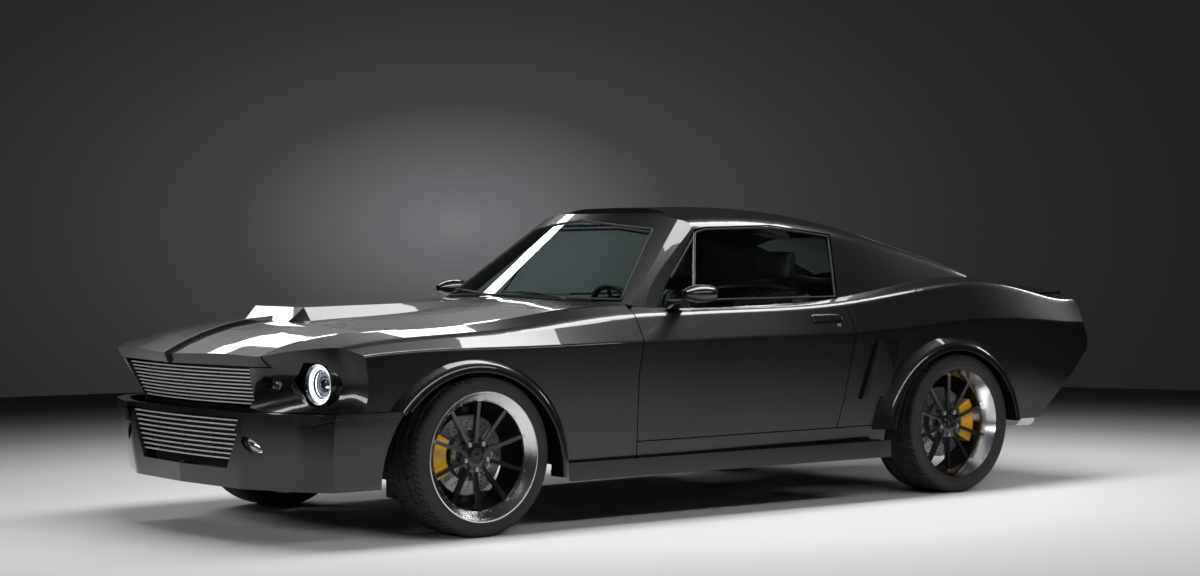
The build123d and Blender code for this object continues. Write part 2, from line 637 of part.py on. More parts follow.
trunk_cut = plan_prism(
    [(TRUNK_PLAN[0][0] + SHUT_GAP, -1)] + [(x, y + SHUT_GAP) for x, y in TRUNK_PLAN[1:-1]]
    + [(TRUNK_PLAN[-1][0] - 100, -1)], TRUNK_LIP_Z - SHUT_GAP, 1100)
quarter_side = [
    (DOOR_REAR_X - SHUT_GAP, DOOR_BOTTOM_Z), (DOOR_REAR_X - 40 - SHUT_GAP, 470),
    (DOOR_REAR_X - 72 - SHUT_GAP, 629), (DOOR_REAR_X - 102 - SHUT_GAP, 762),
    (DOOR_REAR_X - 112 - SHUT_GAP, BELT_Z + 160), (REAR_AXLE_X - 1130, BELT_Z + 160),
    (REAR_AXLE_X - 1130, BUMPER_SPLIT_Z), (REAR_AXLE_X - 700, BUMPER_SPLIT_Z),
    (REAR_AXLE_X - 700, QUARTER_FOOT_Z), (REAR_ARCH_X, QUARTER_FOOT_Z), (REAR_ARCH_X, DOOR_BOTTOM_Z),
]
QUARTER_INNER_Y = side_y(262) - 20
with BuildPart() as quarter_wall:
    add(wall)
    add(side_prism(quarter_side, QUARTER_INNER_Y, HALF_WIDTH + 40), mode=Mode.INTERSECT)
with BuildPart() as rear_flare_piece:
    add(rear_flare)
    add(block((REAR_ARCH_X - 600, 700, QUARTER_FOOT_Z), (REAR_ARCH_X + 600, 1000, 900)), mode=Mode.INTERSECT)
    add(inner, mode=Mode.SUBTRACT)
SIDE_SCOOP = [
    (DOOR_REAR_X - 142, 470), (DOOR_REAR_X - 236, 745), (DOOR_REAR_X - 390, 735), (DOOR_REAR_X - 300, 480),
]
SIDE_SCOOP_PLAN = [
    (DOOR_REAR_X - 60, side_y(200)), (DOOR_REAR_X - 60, side_y(-20)), (DOOR_REAR_X - 156, side_y(-20)),
    (DOOR_REAR_X - 400, side_y(14)), (DOOR_REAR_X - 400, side_y(200)),
]
with BuildPart() as side_scoop:
    add(side_prism(SIDE_SCOOP, side_y(200), HALF_WIDTH + 40))
    add(plan_prism(SIDE_SCOOP_PLAN, 400, 800), mode=Mode.INTERSECT)
with BuildPart() as quarter:
    add(quarter_wall.part)
    add(rear_flare_piece.part)
    add(proud(side_scoop.part))
    add(proud(side_prism(TAIL_LIP_SIDE, TRUNK_PLAN[2][1] + SHUT_GAP, HALF_WIDTH)))
    add(trunk_cut, mode=Mode.SUBTRACT)
    add(rear_arch, mode=Mode.SUBTRACT)
with BuildPart() as quarter_panel:      # without the lip's offcut inside the skin
    add(quarter.part.solids().sort_by(SortBy.VOLUME)[-1])
save(both_sides(quarter_panel.part), "quarter_panels")

TAIL_LAMP_Z = 781.0
PLATE_HOLE_PITCH = 177.8    # two holes for the number plate
PLATE_HOLE_Z = 800.0
PLATE_HOLE_RADIUS = 3.3
TAIL_LAMP_PITCH = 84.0
TAIL_LAMP_SIZE = (62.0, 150.0)


def tail_lamp_blocks(clearance):
    """Three upright lamps on the left of the tail, with clearance all round."""
    with BuildPart(mode=Mode.PRIVATE) as lamps:
        with BuildSketch(Plane.YZ.offset(REAR_AXLE_X - 1120)):
            for n in range(3):
                with Locations((side_y(345) - n * TAIL_LAMP_PITCH, TAIL_LAMP_Z)):
                    RectangleRounded(TAIL_LAMP_SIZE[0] + 2 * clearance, TAIL_LAMP_SIZE[1] + 2 * clearance, 14)
        extrude(amount=200)
    return lamps.part


with BuildPart() as tail_skin:
    add(wall)
    add(block((REAR_AXLE_X - 1130, -1, BUMPER_SPLIT_Z),
              (REAR_AXLE_X - 880, QUARTER_INNER_Y, TRUNK_LIP_Z - SHUT_GAP)), mode=Mode.INTERSECT)
with BuildPart() as tail_lamps_left:
    add(tail_lamp_blocks(0))
    add(tail_skin.part, mode=Mode.INTERSECT)
save(both_sides(tail_lamps_left.part), "tail_lamps")
with BuildPart() as tail_half:
    add(tail_skin.part)
    add(tail_lamp_blocks(SEAT_CLEAR), mode=Mode.SUBTRACT)
    with BuildSketch(Plane.YZ.offset(REAR_AXLE_X - 1130)):
        with Locations((PLATE_HOLE_PITCH / 2, PLATE_HOLE_Z)):
            Circle(PLATE_HOLE_RADIUS)
    extrude(amount=120, mode=Mode.SUBTRACT)
with BuildPart() as tail_panel:
    add(tail_half.part)
    mirror(about=Plane.XZ)
save(tail_panel.part, "tail_panel")
with BuildPart() as rear_bumper_half:
    add(wall)
    add(block((REAR_AXLE_X - 1130, -1, QUARTER_FOOT_Z), (REAR_AXLE_X - 700, HALF_WIDTH, BUMPER_SPLIT_Z)),
        mode=Mode.INTERSECT)
with BuildPart() as rear_bumper:
    add(rear_bumper_half.part)
    mirror(about=Plane.XZ)
save(rear_bumper.part, "rear_bumper")

# ---------------------------------------------------------------- rockers and side skirts
ROCKER_TOP_Z = DOOR_BOTTOM_Z - SHUT_GAP
with BuildPart() as rocker:
    add(outer)
    add(block((REAR_AXLE_X + 100, DOOR_INNER_Y - 10, SILL_Z), (DOOR_FRONT_X, HALF_WIDTH, ROCKER_TOP_Z)),
        mode=Mode.INTERSECT)
    add(rear_arch, mode=Mode.SUBTRACT)
save(both_sides(rocker.part), "rockers")
SKIRT_PLAN = [
    (FRONT_AXLE_X - 398, side_y(45)), (FRONT_AXLE_X - 418, side_y(16)), (FRONT_AXLE_X - 1140, side_y(0)),
    (FRONT_AXLE_X - 1710, side_y(-20)), (REAR_AXLE_X + 552, side_y(-38)), (REAR_AXLE_X + 480, side_y(-34)),
    (REAR_AXLE_X + 480, side_y(60)), (FRONT_AXLE_X - 398, side_y(60)),
]
with BuildPart() as skirt:
    add(plan_prism(SKIRT_PLAN, SILL_Z - 5, SILL_Z + 72))
    add(outer, mode=Mode.SUBTRACT)
    add(front_flare, mode=Mode.SUBTRACT)
    add(rear_flare, mode=Mode.SUBTRACT)
    add(front_arch, mode=Mode.SUBTRACT)
    add(rear_arch, mode=Mode.SUBTRACT)
    add(block((-2000, 0, 0), (2000, DOOR_INNER_Y, 1000)), mode=Mode.SUBTRACT)
save(both_sides(skirt.part), "side_skirts")

# ---------------------------------------------------------------- wheels
TYRE_BEAD = 255.8
SPOKES = 10
LUGS = 5
LUG_HOLE_RADIUS = 7.5
HUB_FACE = 30.0             # the wheel seats on its hub this far outside the tyre's middle
HUB_PAD = 26.0              # thickness of the wheel at its hub
DISC_THICK = 24.0
DISC_OUT = -4.0             # outer face of the brake disc, from the tyre's middle
CALIPER_GAP = 5.0

# dish: how far the spoke ring stands inside the lip
Corner = namedtuple("Corner", "name x y side tyre_width dish")
CORNERS = [
    Corner("front_left", FRONT_AXLE_X, FRONT_TYRE_Y, 1, FRONT_TYRE_WIDTH, 36),
    Corner("front_right", FRONT_AXLE_X, FRONT_TYRE_Y, -1, FRONT_TYRE_WIDTH, 36),
    Corner("rear_left", REAR_AXLE_X, REAR_TYRE_Y, 1, REAR_TYRE_WIDTH, 74),
    Corner("rear_right", REAR_AXLE_X, REAR_TYRE_Y, -1, REAR_TYRE_WIDTH, 74),
]


def hub_profile(c):
    """Plane through a wheel's axis: local x points outboard, local y is the radius."""
    return Plane((c.x, c.side * c.y, TYRE_RADIUS), x_dir=(0, c.side, 0), z_dir=(c.side, 0, 0))


def hub_face(c, outboard):
    """Plane square to a wheel's axis, facing outboard."""
    return Plane((c.x, c.side * (c.y + outboard), TYRE_RADIUS), x_dir=(1, 0, 0), z_dir=(0, c.side, 0))


def hub_axis(c):
    """Axis on which a wheel turns."""
    return Axis((c.x, c.side * c.y, TYRE_RADIUS), (0, 1, 0))


for c in CORNERS:
    half = c.tyre_width / 2
    lip = half - 4
    with BuildPart() as tyre:
        with BuildSketch(hub_profile(c)):
            with BuildLine():
                rounded_run(
                    [(-lip + 10, TYRE_BEAD), (lip - 10, TYRE_BEAD), (lip - 6, RIM_RADIUS + 1),
                     (half + 1, RIM_RADIUS + 26), (half - 6, TYRE_RADIUS - 8), (half - 34, TYRE_RADIUS),
                     (-half + 34, TYRE_RADIUS), (-half + 6, TYRE_RADIUS - 8), (-half - 1, RIM_RADIUS + 26),
                     (-lip + 6, RIM_RADIUS + 1)],
                    [0, 0, 0, 14, 12, 10, 10, 12, 14, 0],
                )
            make_face()
        revolve(axis=hub_axis(c))
    save(tyre.part, f"tyre_{c.name}")

    ring = lip - c.dish         # outer face of the ring that the spokes meet
    with BuildPart() as wheel:
        with BuildSketch(hub_profile(c)):
            with BuildLine():
                Polyline(
                    (-lip, RIM_RADIUS), (-lip + 5, RIM_RADIUS), (-lip + 9, TYRE_BEAD - SEAT_CLEAR),
                    (lip - 9, TYRE_BEAD - SEAT_CLEAR), (lip - 5, RIM_RADIUS), (lip, RIM_RADIUS),
                    (lip, RIM_RADIUS - 6), (lip - 8, RIM_RADIUS - RIM_LIP - 4), (ring, 225), (ring - 10, 223),
                    (ring - 16, 246), (-lip + 12, 246), (-lip, RIM_RADIUS - 8), close=True,
                )
            make_face()
        revolve(axis=hub_axis(c))
        with BuildSketch(hub_face(c, HUB_FACE)):
            Circle(72)
        extrude(amount=HUB_PAD)
        for n in range(SPOKES):
            turn = radians(n * 360 / SPOKES + 18)
            radial = Vector(cos(turn), 0, sin(turn))
            spoke_side = Plane((c.x, c.side * c.y, TYRE_RADIUS), x_dir=(0, c.side, 0),
                               z_dir=radial.cross(Vector(0, c.side, 0)) * -1)
            with BuildSketch(spoke_side):
                with BuildLine():
                    Polyline((HUB_FACE + 2, 55), (HUB_FACE + HUB_PAD, 55), (ring + 1, 226), (ring - 9, 226),
                             (ring - 24, 205), close=True)
                make_face()
            extrude(amount=8, both=True)
        with BuildSketch(hub_face(c, HUB_FACE)):
            with PolarLocations(LUG_CIRCLE / 2, LUGS, start_angle=90):
                Circle(LUG_HOLE_RADIUS)
        extrude(amount=HUB_PAD, mode=Mode.SUBTRACT)
        with BuildSketch(hub_face(c, HUB_FACE)):
            Circle(HUB_RADIUS + RUNNING_CLEAR)
        extrude(amount=HUB_PAD - 8, mode=Mode.SUBTRACT)
    save(wheel.part, f"wheel_{c.name}")

    with BuildPart() as disc:
        with BuildSketch(hub_face(c, DISC_OUT - DISC_THICK)):
            Circle(DISC_RADIUS)
            Circle(100, mode=Mode.SUBTRACT)
        extrude(amount=DISC_THICK)
        with BuildSketch(hub_face(c, DISC_OUT - DISC_THICK)):
            Circle(106)
        extrude(amount=HUB_FACE - DISC_OUT + DISC_THICK)
        with BuildSketch(hub_face(c, DISC_OUT - DISC_THICK)):
            Circle(96)
        extrude(amount=HUB_FACE - DISC_OUT + DISC_THICK - 8, mode=Mode.SUBTRACT)
        with BuildSketch(hub_face(c, HUB_FACE - 8)):
            Circle(HUB_RADIUS + RUNNING_CLEAR)
            with PolarLocations(LUG_CIRCLE / 2, LUGS, start_angle=90):
                Circle(LUG_HOLE_RADIUS)
        extrude(amount=8, mode=Mode.SUBTRACT)
    save(disc.part, f"brake_disc_{c.name}")

# ---------------------------------------------------------------- calipers, knuckles and axles
KINGPIN_Y = FRONT_TYRE_Y - 40
CALIPER_IN = DISC_OUT - DISC_THICK - CALIPER_GAP
CALIPER_OUT = DISC_OUT + CALIPER_GAP
CALIPER_WALL = 26.0


def caliper(c, lead):
    """Brake caliper: a block bridging the disc, ahead of the hub when lead is 1, behind when -1."""
    centre = Vector(c.x, c.side * c.y, TYRE_RADIUS)
    with BuildPart(mode=Mode.PRIVATE) as body:
        with BuildSketch(hub_face(c, CALIPER_IN - CALIPER_WALL)):
            with BuildLine():
                inner_arc = [Vector(lead * 122 * cos(radians(a)), 122 * sin(radians(a))) for a in (-32, 0, 32)]
                outer_arc = [Vector(lead * 208 * cos(radians(a)), 208 * sin(radians(a))) for a in (30, 0, -30)]
                ThreePointArc(*[local_point(c, p) for p in inner_arc])
                Line(local_point(c, inner_arc[2]), local_point(c, outer_arc[0]))
                ThreePointArc(*[local_point(c, p) for p in outer_arc])
                Line(local_point(c, outer_arc[2]), local_point(c, inner_arc[0]))
            make_face()
        extrude(amount=CALIPER_WALL + CALIPER_OUT - CALIPER_IN + 20)
        with BuildSketch(hub_face(c, CALIPER_IN)):
            Circle(DISC_RADIUS + CALIPER_GAP)
        extrude(amount=CALIPER_OUT - CALIPER_IN, mode=Mode.SUBTRACT)
    return body.part


def local_point(c, point):
    """Point given as (forward, up) from a hub, in the coordinates of hub_face(c)."""
    return (point.X, point.Y * -c.side)



def cylinder_up(x, y, low_z, high_z, radius):
    """Upright cylinder."""
    with BuildPart(mode=Mode.PRIVATE) as post:
        with BuildSketch(Plane.XY.offset(low_z)):
            with Locations((x, y)):
                Circle(radius)
        extrude(amount=high_z - low_z)
    return post.part


UPRIGHT_IN = CALIPER_IN - 40
UPRIGHT_THICK = 24.0
UPRIGHT_LOW_Z = 158.0
UPRIGHT_HIGH_Z = 503.0
BALL_PIN_RADIUS = 11.0
ARM_THICK = 22.0
for c in CORNERS[:2]:
    side_name = c.name.replace("front_", "")
    inner_y = c.y + UPRIGHT_IN
    with BuildPart() as knuckle:
        with BuildSketch(hub_face(c, UPRIGHT_IN)):
            Circle(64)
        extrude(amount=UPRIGHT_THICK)
        with BuildSketch(hub_face(c, UPRIGHT_IN + UPRIGHT_THICK)):
            Circle(44)
        extrude(amount=DISC_OUT - DISC_THICK - UPRIGHT_IN - UPRIGHT_THICK)
        with BuildSketch(hub_face(c, UPRIGHT_IN + UPRIGHT_THICK)):
            Circle(HUB_RADIUS)
        extrude(amount=HUB_FACE + HUB_PAD - 12 - UPRIGHT_IN - UPRIGHT_THICK)
        low, high = sorted((c.side * inner_y, c.side * (inner_y + UPRIGHT_THICK)))
        add(block((c.x - 26, low, UPRIGHT_LOW_Z), (c.x + 26, high, UPRIGHT_HIGH_Z)))
        low, high = sorted((c.side * inner_y, c.side * (KINGPIN_Y + 7)))
        for foot_z in (UPRIGHT_LOW_Z, UPRIGHT_HIGH_Z - 20):
            add(block((c.x - 18, low, foot_z), (c.x + 18, high, foot_z + 20)))
        add(cylinder_up(c.x, c.side * KINGPIN_Y, UPRIGHT_LOW_Z - ARM_THICK - 4, UPRIGHT_LOW_Z + 1, BALL_PIN_RADIUS))
        add(cylinder_up(c.x, c.side * KINGPIN_Y, UPRIGHT_HIGH_Z - 1, UPRIGHT_HIGH_Z + ARM_THICK + 4, BALL_PIN_RADIUS))
        low, high = sorted((c.side * (inner_y + 2), c.side * (c.y + CALIPER_IN - CALIPER_WALL)))
        add(block((c.x + 20, low, TYRE_RADIUS - 40), (c.x + 150, high, TYRE_RADIUS + 40)))
    save(knuckle.part, f"knuckle_{side_name}")
    save(caliper(c, 1), f"front_caliper_{side_name}")

# ---------------------------------------------------------------- front suspension
RAIL_Y = 420.0
RAIL_WIDTH = 60.0
RAIL_LOW_Z = 250.0
RAIL_HIGH_Z = 340.0
SPRING_Y = 556.0
SPRING_RADIUS = 44.0
TOWER_Z = 790.0
ARM_SPREAD = 130.0
FIREWALL_X = FRONT_AXLE_X - 545


def wishbone(low_z):
    """Left wishbone: two legs from the ball joint to the frame rail, with a round eye."""
    x = FRONT_AXLE_X
    rail = RAIL_Y + RAIL_WIDTH / 2 - 4
    with BuildPart(mode=Mode.PRIVATE) as arm:
        with BuildSketch(Plane.XY.offset(low_z)):
            with BuildLine():
                Polyline((x + 22, KINGPIN_Y), (x + ARM_SPREAD, rail), (x - ARM_SPREAD, rail),
                         (x - 22, KINGPIN_Y), close=True)
            make_face()
            with BuildLine():
                Polyline((x + 4, KINGPIN_Y - 70), (x + ARM_SPREAD - 40, rail + 20), (x - ARM_SPREAD + 40, rail + 20),
                         (x - 4, KINGPIN_Y - 70), close=True)
            make_face(mode=Mode.SUBTRACT)
            with Locations((x, KINGPIN_Y)):
                Circle(24)
                Circle(BALL_PIN_RADIUS + RUNNING_CLEAR, mode=Mode.SUBTRACT)
        extrude(amount=ARM_THICK)
    return arm.part


with BuildPart() as suspension_left:
    add(block((FIREWALL_X + SEAT_CLEAR, RAIL_Y - RAIL_WIDTH / 2, RAIL_LOW_Z),
              (FRONT_AXLE_X + 640, RAIL_Y + RAIL_WIDTH / 2, RAIL_HIGH_Z)))
    add(wishbone(UPRIGHT_LOW_Z - ARM_THICK - 2))
    add(wishbone(UPRIGHT_HIGH_Z + 2))
    add(block((FRONT_AXLE_X - 150, RAIL_Y - RAIL_WIDTH / 2, UPRIGHT_LOW_Z - ARM_THICK - 2),
              (FRONT_AXLE_X + 150, RAIL_Y + RAIL_WIDTH / 2, RAIL_LOW_Z)))
    add(block((FRONT_AXLE_X - 150, RAIL_Y - RAIL_WIDTH / 2, RAIL_HIGH_Z),
              (FRONT_AXLE_X + 150, RAIL_Y + RAIL_WIDTH / 2, TOWER_Z)))
    add(block((FRONT_AXLE_X - 50, RAIL_Y, TOWER_Z - 24), (FRONT_AXLE_X + 50, SPRING_Y + 50, TOWER_Z)))
    add(cylinder_up(FRONT_AXLE_X, SPRING_Y, UPRIGHT_LOW_Z - ARM_THICK, TOWER_Z - 10, 24))
    for turn in range(8):
        add(cylinder_up(FRONT_AXLE_X, SPRING_Y, UPRIGHT_HIGH_Z + 40 + turn * 28, UPRIGHT_HIGH_Z + 52 + turn * 28,
                        SPRING_RADIUS))
    add(block((FRONT_AXLE_X - 45, -1, RAIL_LOW_Z - 60), (FRONT_AXLE_X + 45, RAIL_Y, RAIL_LOW_Z - 4)))
    add(block((FRONT_AXLE_X - 30, SPRING_Y - 30, UPRIGHT_LOW_Z - ARM_THICK - 2),
              (FRONT_AXLE_X + 30, SPRING_Y + 30, UPRIGHT_LOW_Z - 2)))
with BuildPart() as front_suspension:
    add(suspension_left.part)
    mirror(about=Plane.XZ)
save(front_suspension.part, "front_suspension")

# ---------------------------------------------------------------- rear axle
AXLE_TUBE_RADIUS = 38.0
DIFF_RADIUS = 125.0
LEAF_Y = 560.0
FLOOR_REAR_X = REAR_AXLE_X + 470
LEAF_EYE_X = FLOOR_REAR_X - 18.2    # the spring's front eye bears on the floor's step
rear_left = CORNERS[2]
with BuildPart() as axle_left:
    with BuildSketch(Plane.XZ.offset(1)):
        with Locations((REAR_AXLE_X, TYRE_RADIUS)):
            Circle(AXLE_TUBE_RADIUS)
    extrude(amount=-(REAR_TYRE_Y + CALIPER_IN - 10))
    with BuildSketch(Plane.XZ.offset(1)):
        with Locations((REAR_AXLE_X, TYRE_RADIUS)):
            Circle(DIFF_RADIUS)
    extrude(amount=-90, taper=18)
    with BuildSketch(hub_face(rear_left, CALIPER_IN - 12)):
        Circle(60)
    extrude(amount=12)
    with BuildSketch(hub_face(rear_left, CALIPER_IN)):
        Circle(HUB_RADIUS)
    extrude(amount=HUB_FACE + HUB_PAD - 12 - CALIPER_IN)
    with BuildSketch(Plane.XZ.offset(-(LEAF_Y + 32))):
        with BuildLine():
            ThreePointArc((REAR_AXLE_X - 620, 340), (REAR_AXLE_X, 268), (LEAF_EYE_X, 310))
            Line((LEAF_EYE_X, 310), (LEAF_EYE_X, 326))
            ThreePointArc((LEAF_EYE_X, 326), (REAR_AXLE_X, 292), (REAR_AXLE_X - 620, 356))
            Line((REAR_AXLE_X - 620, 356), (REAR_AXLE_X - 620, 340))
        make_face()
    extrude(amount=64)
    add(block((REAR_AXLE_X - 50, LEAF_Y - 36, 262), (REAR_AXLE_X + 50, LEAF_Y + 36, 320)))
    add(block((REAR_AXLE_X - 150, REAR_TYRE_Y + CALIPER_IN - CALIPER_WALL - 14, TYRE_RADIUS - 40),
              (REAR_AXLE_X, REAR_TYRE_Y + CALIPER_IN - CALIPER_WALL, TYRE_RADIUS + 40)))
with BuildPart() as rear_axle:
    add(axle_left.part)
    mirror(about=Plane.XZ)
save(rear_axle.part, "rear_axle")
with BuildPart() as rear_calipers:
    for c in CORNERS[2:]:
        add(caliper(c, -1))
save(rear_calipers.part, "rear_calipers")


# ---------------------------------------------------------------- floor, firewall and wheelhouses
FLOOR_Z = 246.0
FLOOR_THICK = 12.0
PANEL = 14.0
LINER_GAP = 24.0
LINER_INNER_Y = 474.0
REAR_LINER_Y = 600.0
TAIL_INSIDE_X = REAR_AXLE_X - 755
TUNNEL_HALF = 124.0
TUNNEL_TOP_Z = 440.0
JACK_PAD_RADIUS = 35.0
JACK_PAD_DEPTH = 20.0

with BuildPart() as floor_left:
    add(block((FLOOR_REAR_X, -1, FLOOR_Z), (FIREWALL_X, DOOR_INNER_Y - 10, FLOOR_Z + FLOOR_THICK)))
    with BuildSketch(Plane.YZ.offset(FLOOR_REAR_X)):
        with BuildLine():
            Polyline((-1, FLOOR_Z), (TUNNEL_HALF, FLOOR_Z), (TUNNEL_HALF - 12, 420), (-1, TUNNEL_TOP_Z), close=True)
        make_face()
    extrude(amount=FIREWALL_X - FLOOR_REAR_X)
    with BuildSketch(Plane.YZ.offset(FLOOR_REAR_X)):
        with BuildLine():
            Polyline((-2, FLOOR_Z - 1), (TUNNEL_HALF - 14, FLOOR_Z - 1), (TUNNEL_HALF - 25, 408), (-2, 426), close=True)
        make_face()
    extrude(amount=FIREWALL_X - FLOOR_REAR_X, mode=Mode.SUBTRACT)
    with BuildSketch(Plane.XZ.offset(-REAR_LINER_Y)):
        with BuildLine():
            Polyline((FLOOR_REAR_X + 8, FLOOR_Z), (FLOOR_REAR_X - 17, 430), (REAR_AXLE_X + 240, 500),
                     (REAR_AXLE_X - 300, 530), (REAR_AXLE_X - 460, 400), (TAIL_INSIDE_X, 400),
                     (TAIL_INSIDE_X, 400 - PANEL), (REAR_AXLE_X - 466, 400 - PANEL), (REAR_AXLE_X - 306, 530 - PANEL),
                     (REAR_AXLE_X + 236, 500 - PANEL), (FLOOR_REAR_X - 32, 420), (FLOOR_REAR_X - 6, FLOOR_Z),
                     close=True)
        make_face()
    extrude(amount=REAR_LINER_Y + 1)
    for x in (FRONT_AXLE_X - 700, REAR_AXLE_X + 640):
        add(cylinder_up(x, DOOR_INNER_Y - JACK_PAD_RADIUS - 15, FLOOR_Z - JACK_PAD_DEPTH, FLOOR_Z, JACK_PAD_RADIUS))
with BuildPart() as floor_pan:
    add(floor_left.part)
    mirror(about=Plane.XZ)
save(floor_pan.part, "floor_pan")

with BuildPart() as firewall_left:
    add(block((FIREWALL_X + 1, -1, RAIL_HIGH_Z + 4), (FIREWALL_X + 1 + PANEL, RAIL_Y - RAIL_WIDTH / 2, 868)))
    add(block((FIREWALL_X + 1, -1, RAIL_HIGH_Z + 4), (FIREWALL_X + 1 + PANEL, DOOR_INNER_Y - 10, 868)))
with BuildPart() as firewall:
    add(firewall_left.part)
    mirror(about=Plane.XZ)
save(firewall.part, "firewall")


def liner(arch_x, arch_z, radius, inner_y, outer_y, low_z, opening):
    """Left wheelhouse: an arched roof over the wheel with an inner wall, open round the axle."""
    with BuildPart(mode=Mode.PRIVATE) as house:
        with BuildSketch(Plane.XZ.offset(-outer_y)):
            with Locations((arch_x, arch_z)):
                Circle(radius + 6)
                Circle(radius, mode=Mode.SUBTRACT)
        extrude(amount=outer_y - inner_y)
        with BuildSketch(Plane.XZ.offset(-inner_y - 6)):
            with Locations((arch_x, arch_z)):
                Circle(radius + 6)
        extrude(amount=6)
        add(block((arch_x - 700, 0, -600), (arch_x + 700, 1000, low_z)), mode=Mode.SUBTRACT)
        add(block((arch_x - 40 - opening, 0, 0), (arch_x - 40 + opening, inner_y + 20, 560)), mode=Mode.SUBTRACT)
    return house.part


with BuildPart() as front_liner:
    add(liner(FRONT_ARCH_X, FRONT_ARCH_Z, FRONT_ARCH_RADIUS + LINER_GAP, LINER_INNER_Y, side_y(20), 300, 170))
    add(block((FRONT_AXLE_X - 70, 0, 0), (FRONT_AXLE_X + 70, 640, 1000)), mode=Mode.SUBTRACT)
    add(inner, mode=Mode.INTERSECT)
with BuildPart() as rear_liner:
    add(liner(REAR_ARCH_X, REAR_ARCH_Z, REAR_ARCH_RADIUS + LINER_GAP, REAR_LINER_Y + 1, side_y(70), ROCKER_TOP_Z + 1, 70))
    add(inner, mode=Mode.INTERSECT)
with BuildPart() as wheelhouses:
    add(front_liner.part)
    add(rear_liner.part)
    mirror(about=Plane.XZ)
save(wheelhouses.part, "wheelhouses")

# ---------------------------------------------------------------- engine and radiator
ENGINE_WIDTH = 520.0
RAIL_INNER_Y = RAIL_Y - RAIL_WIDTH / 2
with BuildPart() as engine:
    with BuildSketch(Plane.XY.offset(RAIL_LOW_Z + 20)):
        with Locations((FRONT_AXLE_X - 90, 0)):
            RectangleRounded(720, ENGINE_WIDTH, 60)
    extrude(amount=560, taper=4)
    with BuildSketch(Plane.XY.offset(RAIL_LOW_Z + 30)):
        with Locations((FRONT_AXLE_X - 90, 0)):
            Rectangle(80, 2 * RAIL_INNER_Y)
    extrude(amount=40)
save(engine.part, "engine")
with BuildPart() as radiator:
    with BuildSketch(Plane.YZ.offset(FRONT_AXLE_X + 570)):
        with Locations((0, 500)):
            RectangleRounded(2 * RAIL_INNER_Y, 380, 20)
    extrude(amount=46)
save(radiator.part, "radiator")

# ---------------------------------------------------------------- lamps
with BuildPart() as lamps_left:
    with BuildSketch(headlamp_plane.offset(-HEADLAMP_DEPTH)):
        Circle(HEADLAMP_RADIUS)
    extrude(amount=HEADLAMP_DEPTH)
    with BuildSketch(headlamp_plane.offset(-HEADLAMP_DEPTH + 20)):
        Circle(HEADLAMP_RADIUS - 10)
    extrude(amount=HEADLAMP_DEPTH, mode=Mode.SUBTRACT)
    with BuildSketch(headlamp_plane.offset(-HEADLAMP_DEPTH + 19)):
        Circle(26)
    extrude(amount=26)
    with BuildSketch(inner_lamp_plane.offset(-HEADLAMP_DEPTH)):
        Circle(INNER_LAMP_RADIUS)
    extrude(amount=HEADLAMP_DEPTH)
save(both_sides(lamps_left.part), "headlamps")


# ---------------------------------------------------------------- grilles
UPPER_BARS = 10
LOWER_BARS = 9
BAR_HEIGHT = 5.0
BAR_DEPTH = 12.0


def half_opening(outline, z):
    """Half-width of an opening at a height, less the clearance of a seated bar."""
    for (upper_y, upper_z), (lower_y, lower_z) in zip(outline[1:], outline[2:]):
        if lower_z <= z <= upper_z:
            return lower_y + (upper_y - lower_y) * (z - lower_z) / (upper_z - lower_z) - SEAT_CLEAR


def grille_bars(outline, top_z, foot_z, count, centre_x, lean, bow):
    """Level bars joined by uprights; each bar follows the bow of the nose."""
    top_half = half_opening(outline, top_z - BAR_HEIGHT / 2)
    foot_half = half_opening(outline, foot_z - BAR_HEIGHT / 2)
    with BuildPart(mode=Mode.PRIVATE) as bars:
        for n in range(count):
            share = n / (count - 1)
            z = foot_z + (top_z - foot_z) * share
            half = half_opening(outline, z - BAR_HEIGHT / 2)
            x = centre_x + lean * share
            drop = bow * (half / top_half) ** 2
            with BuildSketch(Plane.XY.offset(z - BAR_HEIGHT / 2)):
                with BuildLine():
                    ThreePointArc((x - drop, -half), (x, 0), (x - drop, half))
                    Line((x - drop, half), (x - drop - BAR_DEPTH, half))
                    ThreePointArc((x - drop - BAR_DEPTH, half), (x - BAR_DEPTH, 0), (x - drop - BAR_DEPTH, -half))
                    Line((x - drop - BAR_DEPTH, -half), (x - drop, -half))
                make_face()
            extrude(amount=BAR_HEIGHT)
        for y in (-0.62 * foot_half, 0, 0.62 * foot_half):
            back = bow * (y / top_half) ** 2
            with BuildSketch(Plane.XZ.offset(-y - 3)):
                with BuildLine():
                    Polyline((centre_x - back - 4, foot_z), (centre_x - back - 12, foot_z),
                             (centre_x + lean - back - 12, top_z), (centre_x + lean - back - 4, top_z), close=True)
                make_face()
            extrude(amount=6)
    return bars.part


save(grille_bars(GRILLE_FRONT, 698, 560, UPPER_BARS, FRONT_AXLE_X + 856, 52, 58), "upper_grille")
save(grille_bars(LOWER_GRILLE_FRONT, 494, 338, LOWER_BARS, FRONT_AXLE_X + 884, 8, 30), "lower_grille")

